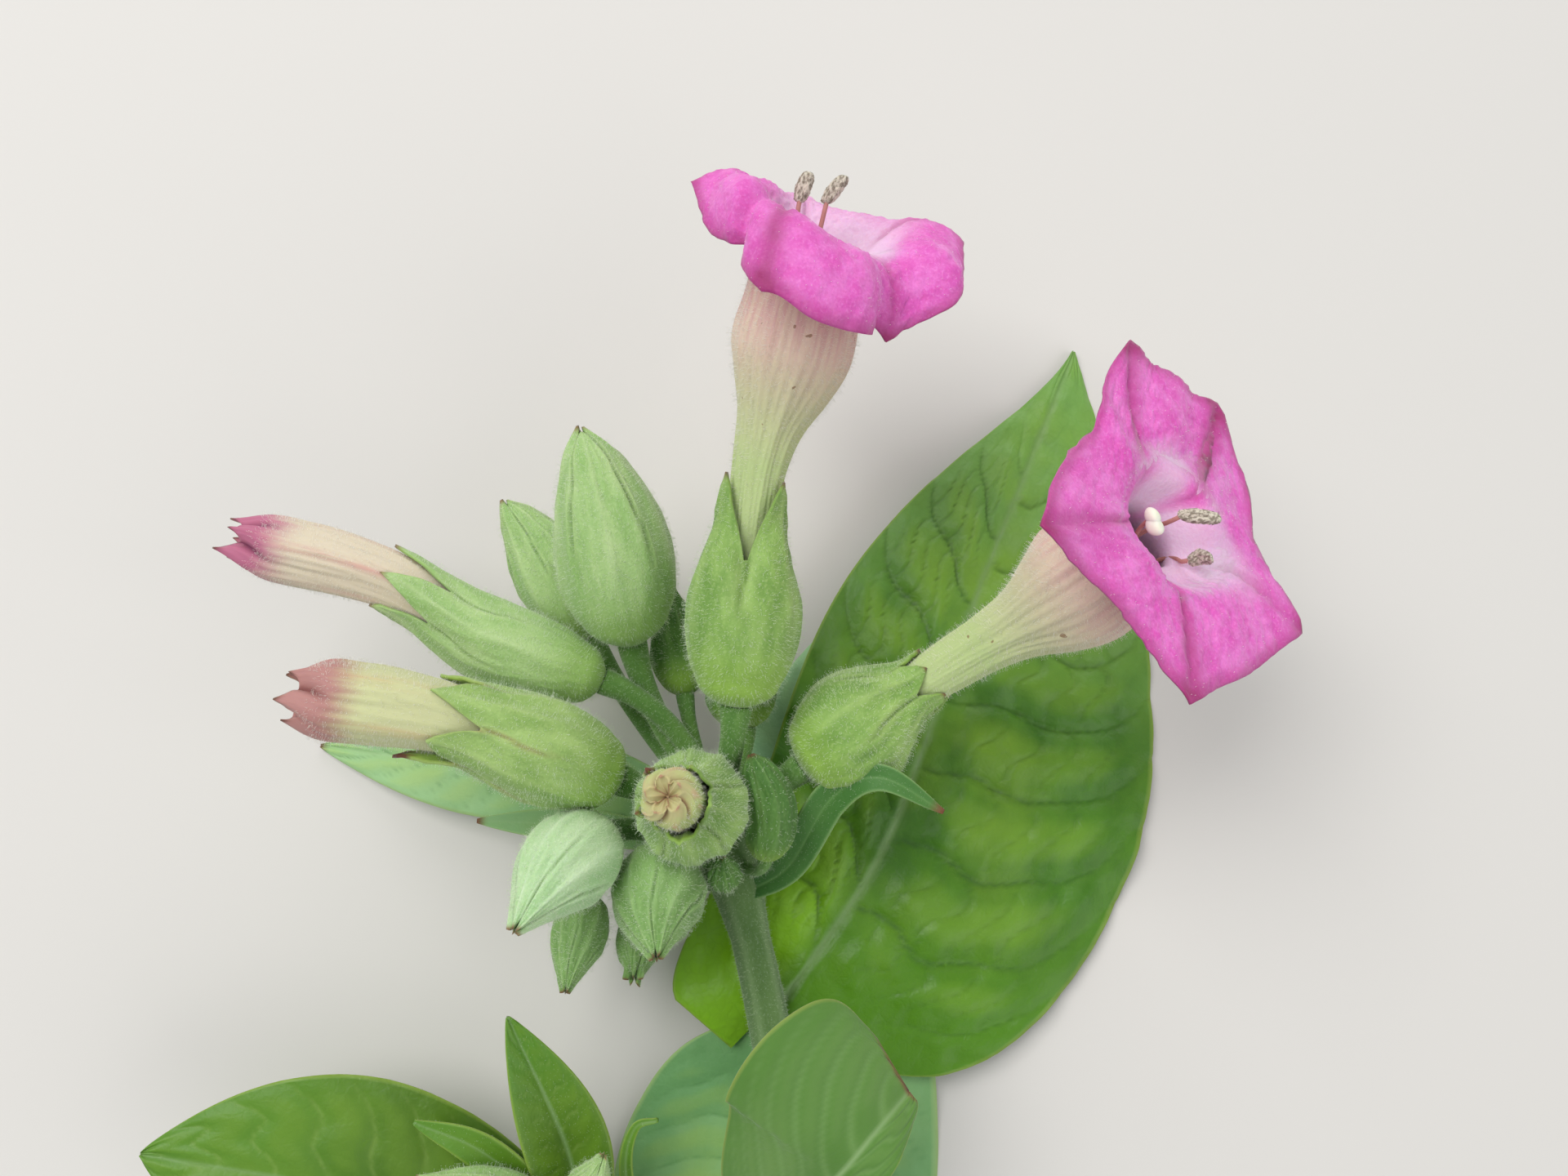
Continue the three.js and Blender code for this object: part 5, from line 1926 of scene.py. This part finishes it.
STEM = Stem(
    "stem",
    (
        (4, -82.5, 4.2), (1.5, -67, 5.6), (-1, -55, 7.2), (-3, -45.5, 9),
        (-5, -37.5, 11), (-7, -31, 12.5), (-8, -25.5, 14),
    ),
    ((0, 2.75), (0.7, 2.2), (0.82, 3), (0.95, 2.8), (1, 2)),
)
SIDE_SHOOT = Stem(
    "side_shoot", ((3, -77.5, 4.2), (-10, -77, 6), (-22.5, -73.5, 9.5)),
    ((0, 1.8), (0.8, 1.5), (1, 2)),
)
FLOWERS = (
    Flower(
        "flower_top", 0.97, ((-5, -18, 25.5), (-3, 3.5, 31.5), (0.5, 16, 36.5), (3.5, 27, 42)),
        6.0, 24.0, 54.0, 0.62,
        Limb(
            turn=2, dip=0.3, throat=(6,) * 10, lean=(2, 4, 8, 4, -6, -8, -8, 0, 0, 0),
            reach=(18, 22.5, 22, 24.6, 18.4, 21.5, 19, 17, 17, 18),
            slopes=(
                (80, 65, -25, -50), (80, 35, -80, -100), (55, 0, -60, -85), (10, -15, -55, -85),
                (10, -30, -75, -95), (35, 20, -30, -80), (70, 45, 0, -40), (70, 45, 10, -20),
                (75, 50, 0, -40), (80, 65, 0, -50),
            ),
            pale=(0.35, 0.15, 0.06, 0.06, 0.35, 0.3, 0.8, 1.2, 1.2, 0.6),
            lip=(0.5,) * 10, fold=(0.5, 0.7, 0.5, 0.5, 0.3), vault=0.35, crease=0.45, ruffle=0.15,
            notches=(
                (0.72, 0.3, 0.07), (1.22, -0.15, 0.16), (1.86, 0.1, 0.12), (2.1, 0.03, 0.08),
                (2.36, -0.05, 0.12),
            ),
        ),
        (
            (2.6, 0, 4.1, -0.1, 0), (-0.4, -0.5, 4.6, -0.4, 0), (-2, 1.5, -4, 0, 0),
            (1, 2.4, -5, 0, 0), (0, -2.6, -6, 0, 0),
        ),
        (0.5, 0, -2.5), notch=0.58, front=0.55, girth=0.93,
    ),
    Flower(
        "flower_right", 0.9,
        ((2, -24, 20), (16, -14.5, 23), (28.5, -7.5, 30), (35.2, -2.3, 35), (38, -1.5, 39)),
        6.2, 17.5, 0.0, 0.5,
        Limb(
            turn=16, dip=1.5, throat=(5.4, 4.4, 4.2, 4.2, 4.8, 5.6, 5.8, 5.8, 5.8, 5.6),
            lean=(-22, -12, 1, -1, -4, -6, -6, -6, 8, -3),
            reach=(20, 15.7, 21.3, 19.6, 20.2, 21, 20, 15.6, 19, 22),
            slopes=((55, 5, 2, -5),) * 10,
            pale=(0.2, 0.1, 0.06, 0.1, 0.2, 0.4, 0.75, 0.55, 0.15, 0.45),
            lip=(2, 0.4, 0.2, 0.3, 0.8, 1.5, 2.3, 2.5, 2.5, 2.4), fold=(0.6, 0.5, 0.7, 0.3, 0.9),
            sink=2.0, crease=0.5, ruffle=0.12, ridges=((0.3, 0.6, 0.08),),
        ),
        (
            (-0.5, -1.1, 2, -0.5, -0.6), (-4.1, -1.9, 0.3, -0.35, 0.5), (1.5, 2, -6, 0, 0),
            (2, -1, -7, 0, 0), (-1, 1, -9, 0, 0),
        ),
        (0, 2.2, -0.7), notch=0.82, curls=(0, 0, 0, 0, 0), keel=0.4, crumple=0.2,
    ),
)
OPENING_BUDS = (
    OpeningBud(
        "opening_bud_upper", 0.96,
        ((-20, -14.5, 19), (-32, -10.5, 22.5), (-42.5, -4.5, 26), (-59, -0.5, 28)),
        4.6, 26.0, 20.0, 0.76, 3.4, PALE_FURLED, skin=BUD_SKIN,
    ),
    OpeningBud(
        "opening_bud_lower", 0.92,
        ((-17.5, -25.5, 22.5), (-27, -22, 28), (-36, -19.5, 32), (-49, -18, 35)),
        5.4, 22.5, 50.0, 0.78, 4.0, BROWN_FURLED, teeth=(0.93, 0.96, 0.93, 0.9, 1.06),
        curls=(0.1, 0, 0.1, 0.2, 1.0), skin=MARGINED_SKIN, keel=0.4, crumple=0.2,
    ),
    OpeningBud(
        "opening_bud_front", 0.88, ((-9.5, -28.5, 20.5), (-9.5, -28.5, 29.5), (-11, -28, 39.5)),
        5.6, 17.0, -12.0, 0.57, 2.85, YOUNG_FURLED, hair=0.45, notch=0.76, keel=0.35,
        curls=(0.5, 0.5, 0.45, 0.45, 1.3), teeth=(0.97, 0.98, 1.03, 1.0, 0.88), lean=(-0.2, 0.0),
        twist=0.7, depth=0.92, parting=0.97, crumple=0.26,
    ),
)
BUDS = (
    ClosedBud(
        "bud_upper_big", 0.97, ((-17, -10, 18), (-19, 1, 24.5), (-22, 12, 28)), 6.3, 20,
        (-0.1, 0, -0.1, 0, 0), notch=0.95, teeth=(1, 0.97, 0.99, 0.97, 0.98),
        profile=HORNED_PROFILE, keel=0.11,
    ),
    ClosedBud(
        "bud_upper_small", 0.94, ((-22.5, -8.5, 12.5), (-27, -0.5, 15.5), (-32, 6.5, 18.5)), 4.5,
        50, (0, 0.1, 0, 0, 0.1), notch=0.94, teeth=(1, 0.97, 0.98, 0.96, 1), profile=HORNED_PROFILE,
        keel=0.12,
    ),
    ClosedBud(
        "bud_back_left", 0.97, ((-11.5, -15, 11), (-12.5, -8, 10.5), (-13.5, -2, 11.5)), 3.3,
        finish=SHADED_BUD_SKIN,
    ),
    ClosedBud(
        "bud_back_middle", 0.98, ((-4.5, -19, 11.5), (-5, -14, 11.5), (-5, -8.5, 11)), 3.9,
        finish=SHADED_BUD_SKIN,
    ),
    ClosedBud(
        "bud_front_left", 0.85, ((-19.5, -31.5, 20), (-22.5, -35, 28.5), (-25.5, -40.5, 35)), 4.7,
        54, finish=PAINTED_LIGHT_BUD_SKIN,
    ),
    ClosedBud(
        "bud_front_middle", 0.82, ((-12.8, -33.5, 16.5), (-13.2, -39, 23), (-12.7, -43.5, 27.5)),
        4.8, 54, hair=0.42, finish=PAINTED_SHADE_BUD_SKIN, keel=0.13,
    ),
    ClosedBud(
        "bud_under_left", 0.8, ((-21.5, -38, 12), (-22.5, -43, 16), (-23, -47.5, 19)), 2.9, 54,
        finish=PAINTED_SHADE_BUD_SKIN, keel=0.13,
    ),
    ClosedBud(
        "bud_under_middle", 0.79, ((-15.5, -39, 9.5), (-16, -43, 13), (-16, -46.5, 17.5)), 2.5, 20,
        (0.8, 0.4, 0.9, 0.5, 0.7), PAINTED_SHADE_BUD_SKIN, notch=0.86,
    ),
    ClosedBud(
        "bud_right", 0.86, ((-2, -33.5, 18.5), (-1.5, -28.5, 23), (-3.5, -23, 24.5)), 2.7, 36,
        (0, 0, 0, 0, 0),
        SHADED_BUD_SKIN, hair=0.3, notch=0.98, keel=0.03, profile=BLUNT_PROFILE, down=2.5,
    ),
    ClosedBud(
        "bud_tiny", 0.82, ((-6, -36, 17.5), (-6.5, -35, 20.5), (-6.5, -33.5, 23.5)), 1.8,
        finish=SHADED_BUD_SKIN,
    ),
)
SIDE_BUDS = (
    ClosedBud(
        "side_bud_left", 0.98, ((-25, -69.5, 14.5), (-31, -67.5, 17.5), (-38, -66, 17.5)), 2.8,
    ),
    ClosedBud(
        "side_bud_right", 0.98, ((-22, -70, 13.5), (-20, -66.5, 16.5), (-18.5, -63.5, 18.5)), 2.3,
    ),
)
FLAT = (0.0, 0.0, 1.0)
LEAVES = (
    Leaf(
        "leaf_under", ((-1.5, -54.5, 3.5), (-3, -63, 1.5), (-5, -78, 0.9), (-6, -96, 0.6)), FLAT,
        (21.5, 15.5), (0.36, 0.42), 1.6, (0.15, 0.6), (0.8, 0.8), -0.05, (5, 2), droop=(2.2, 0),
        rests=True, finish=UNDER_LEAF, relief=0.25, rows=120, columns=49, pairs=9, veins=Vein.EVEN,
    ),
    Leaf(
        "leaf_right", ((-1, -51, 5), (12, -32, 5.2), (22.5, -5, 4), (38, 31.5, 1)), (0.08, 0, 1),
        (17.0, 28.5), (0.41, 0.36), 2.0, (0.2, 0.5), (1.4, 0.95), -0.06, (6, 0), wave=0.5,
        rests=True, finish=BIG_LEAF, relief=0.95, rows=170, columns=89, pairs=10,
    ),
    Leaf(
        "leaf_back", ((-3.5, -45.5, 6), (-1.5, -32.5, 4), (2.5, -17, 2), (6.5, -5, 1)), FLAT,
        (7, 5), (0.5, 0.5), 0.5, (1.8, 1.8), (0.8, 0.8), 0.02, wave=0.1, finish=BACK_LEAF,
        relief=0.2, veins=Vein.EVEN,
    ),
    Leaf(
        "leaf_left", ((-8, -29.5, 10.5), (-23, -24.5, 7), (-39.5, -22.5, 3), (-57, -20, 0.5)), FLAT,
        (6, 5), (0.5, 0.5), 1.2, (0.8, 0.8), (0.9, 0.9), 0.08, wave=0.2, rests=True,
        finish=PALE_LEAF, relief=0.2, brown=0.02, veins=Vein.EVEN,
    ),
    Leaf(
        "leaf_front",
        ((2.5, -74, 5), (1.5, -69, 17), (5.5, -64.5, 22.5), (9, -60.5, 23), (12.7, -57, 20.5)),
        (0, -0.3, 1), (15.3, 4), (0.76, 0.62), 1.4, (0.9, 0.7), (0.32, 0.4), 0.1, shoulder=1.5,
        wave=0.2,
        finish=DOWNY_LEAF, veins=Vein.STEEP, relief=0.15, brown=0.02, rows=120, columns=65, pairs=8,
        vein_width=0.12,
    ),
    Leaf(
        "leaf_side",
        ((-22.5, -73.5, 9.8), (-39.5, -70, 12), (-53.5, -66.5, 14.5), (-67.5, -64, 15.5)), FLAT,
        (11, 12), (0.5, 0.5), 1.2, (0.7, 0.7), (0.85, 0.85), 0.05, wave=0.2, finish=SMOOTH_LEAF,
        relief=0.25, columns=49, veins=Vein.EVEN, rows=110,
    ),
    Leaf(
        "leaf_upright", ((-21.5, -73, 9.8), (-23.5, -63.5, 12.5), (-29, -50, 18.5)), (0.3, 0, 1),
        (4.5, 4.5), (0.4, 0.4), 1.2, (0.9, 0.9), (0.9, 0.9), 0.35, finish=SMOOTH_LEAF, relief=0.1,
        veins=Vein.EVEN, down=4.0,
    ),
    Leaf(
        "bract_right",
        ((-4.5, -37.5, 12), (0.5, -34.5, 15.5), (5, -27.5, 21.5), (10, -25.5, 25), (16.5, -29, 25)),
        FLAT, (2, 2), (0.45, 0.45), 0.9, (0.9, 0.9), (0.9, 0.9), 0.3, down=5.0, brown=0.06,
        veins=Vein.NONE,
    ),
    Leaf(
        "bract_left", ((-9.5, -32, 11), (-24, -30, 10.5), (-34.5, -29.5, 13)), FLAT,
        (2, 2), (0.5, 0.5), 0.8, (0.9, 0.9), (0.9, 0.9), 0.2, down=4.0, brown=0.05, veins=Vein.NONE,
        finish=PALE_LEAF,
    ),
    Leaf(
        "bract_low", ((-23, -72.5, 10.5), (-31, -64, 16), (-38.5, -60.5, 17.5)), FLAT,
        (2, 2), (0.5, 0.5), 0.8, (0.9, 0.9), (0.9, 0.9), 0.2, down=4.0, veins=Vein.NONE,
        finish=SMOOTH_LEAF,
    ),
    Leaf(
        "bract_hook", ((-15, -76, 7.5), (-17, -67, 11), (-16, -62, 13), (-13.5, -61, 13.5)), FLAT,
        (0.8, 0.8), (0.4, 0.4), 0.5, (0.9, 0.9), (0.9, 0.9), 0.2, down=3.0, veins=Vein.NONE,
        columns=13, finish=SMOOTH_LEAF,
    ),
)


@dataclass
class Studio:
    """The pale floor, the soft lights and the camera, which looks down on the shoot.

    Args:
        lens: the camera's focal length in millimetres.
        height: how high the camera is.
        pitch: how far below the horizon it looks, in degrees.
    """

    lens: float = 30.0
    height: float = 162.0
    pitch: float = 78.0
    FLOOR_SIZE = 4.0
    FLOOR_COLOUR = "#d9d5cf"
    FLOOR_ROUGHNESS = 0.9
    SKY = (0.9, 0.95, 1.0, 1.0)
    SKY_STRENGTH = 0.4
    CLIP_START = 0.005
    LIGHTS = (
        ("key", (-0.35, 0.25, 0.75), 0.6, 5.4),
        ("fill", (0.6, -0.45, 0.5), 0.8, 2.6),
        ("back", (0.2, 0.8, 0.35), 0.6, 1.8),
    )

    def build(self) -> None:
        """Makes the floor, the lights and the camera."""
        self._floor()
        for name, place, size, power in self.LIGHTS:
            self._light(name, place, size, power)
        self._camera()
        scene = bpy.context.scene
        scene.world = scene.world or bpy.data.worlds.new("world")
        scene.world.use_nodes = True
        background = next(n for n in scene.world.node_tree.nodes if n.type == "BACKGROUND")
        background.inputs["Color"].default_value = self.SKY
        background.inputs["Strength"].default_value = self.SKY_STRENGTH
        scene.view_settings.view_transform = "Standard"

    def _floor(self) -> None:
        """A wide matt floor."""
        half = self.FLOOR_SIZE / 2
        mesh = bpy.data.meshes.new("floor")
        corners = [(-half, -half, 0), (half, -half, 0), (half, half, 0), (-half, half, 0)]
        mesh.from_pydata(corners, [], [(0, 1, 2, 3)])
        shader = Shader("floor")
        shader.surface(self.FLOOR_COLOUR)
        shader.main.inputs["Roughness"].default_value = self.FLOOR_ROUGHNESS
        mesh.materials.append(shader.data)
        floor = bpy.data.objects.new("floor", mesh)
        bpy.context.scene.collection.objects.link(floor)

    @staticmethod
    def _light(name: str, place: Place, size: float, power: float) -> None:
        """A square soft light that shines at the shoot."""
        data = bpy.data.lights.new(name, "AREA")
        data.size = size
        data.energy = power
        light = bpy.data.objects.new(name, data)
        light.location = place
        aim = -np.array(place) / np.linalg.norm(place)
        light.rotation_euler = (math.acos(-aim[2]), 0.0, math.atan2(aim[1], aim[0]) - math.pi / 2)
        bpy.context.scene.collection.objects.link(light)

    def _camera(self) -> None:
        """A camera above the shoot, which looks down and a little forward."""
        data = bpy.data.cameras.new("camera")
        data.lens = self.lens
        data.clip_start = self.CLIP_START
        camera = bpy.data.objects.new("camera", data)
        back = -self.height / math.tan(math.radians(self.pitch))
        camera.location = (np.array([0.0, back, self.height]) - CENTRE) * MM
        camera.rotation_euler = (math.radians(90 - self.pitch), 0.0, 0.0)
        bpy.context.scene.collection.objects.link(camera)
        bpy.context.scene.camera = camera


def main() -> None:
    """Builds the shoot and its studio, and writes how big it came out."""
    logging.basicConfig(level=logging.INFO, format="%(message)s")
    Shoot(STEM, SIDE_SHOOT, FLOWERS, OPENING_BUDS, BUDS, SIDE_BUDS, LEAVES).build()
    Studio().build()


if __name__ == "__main__":
    main()
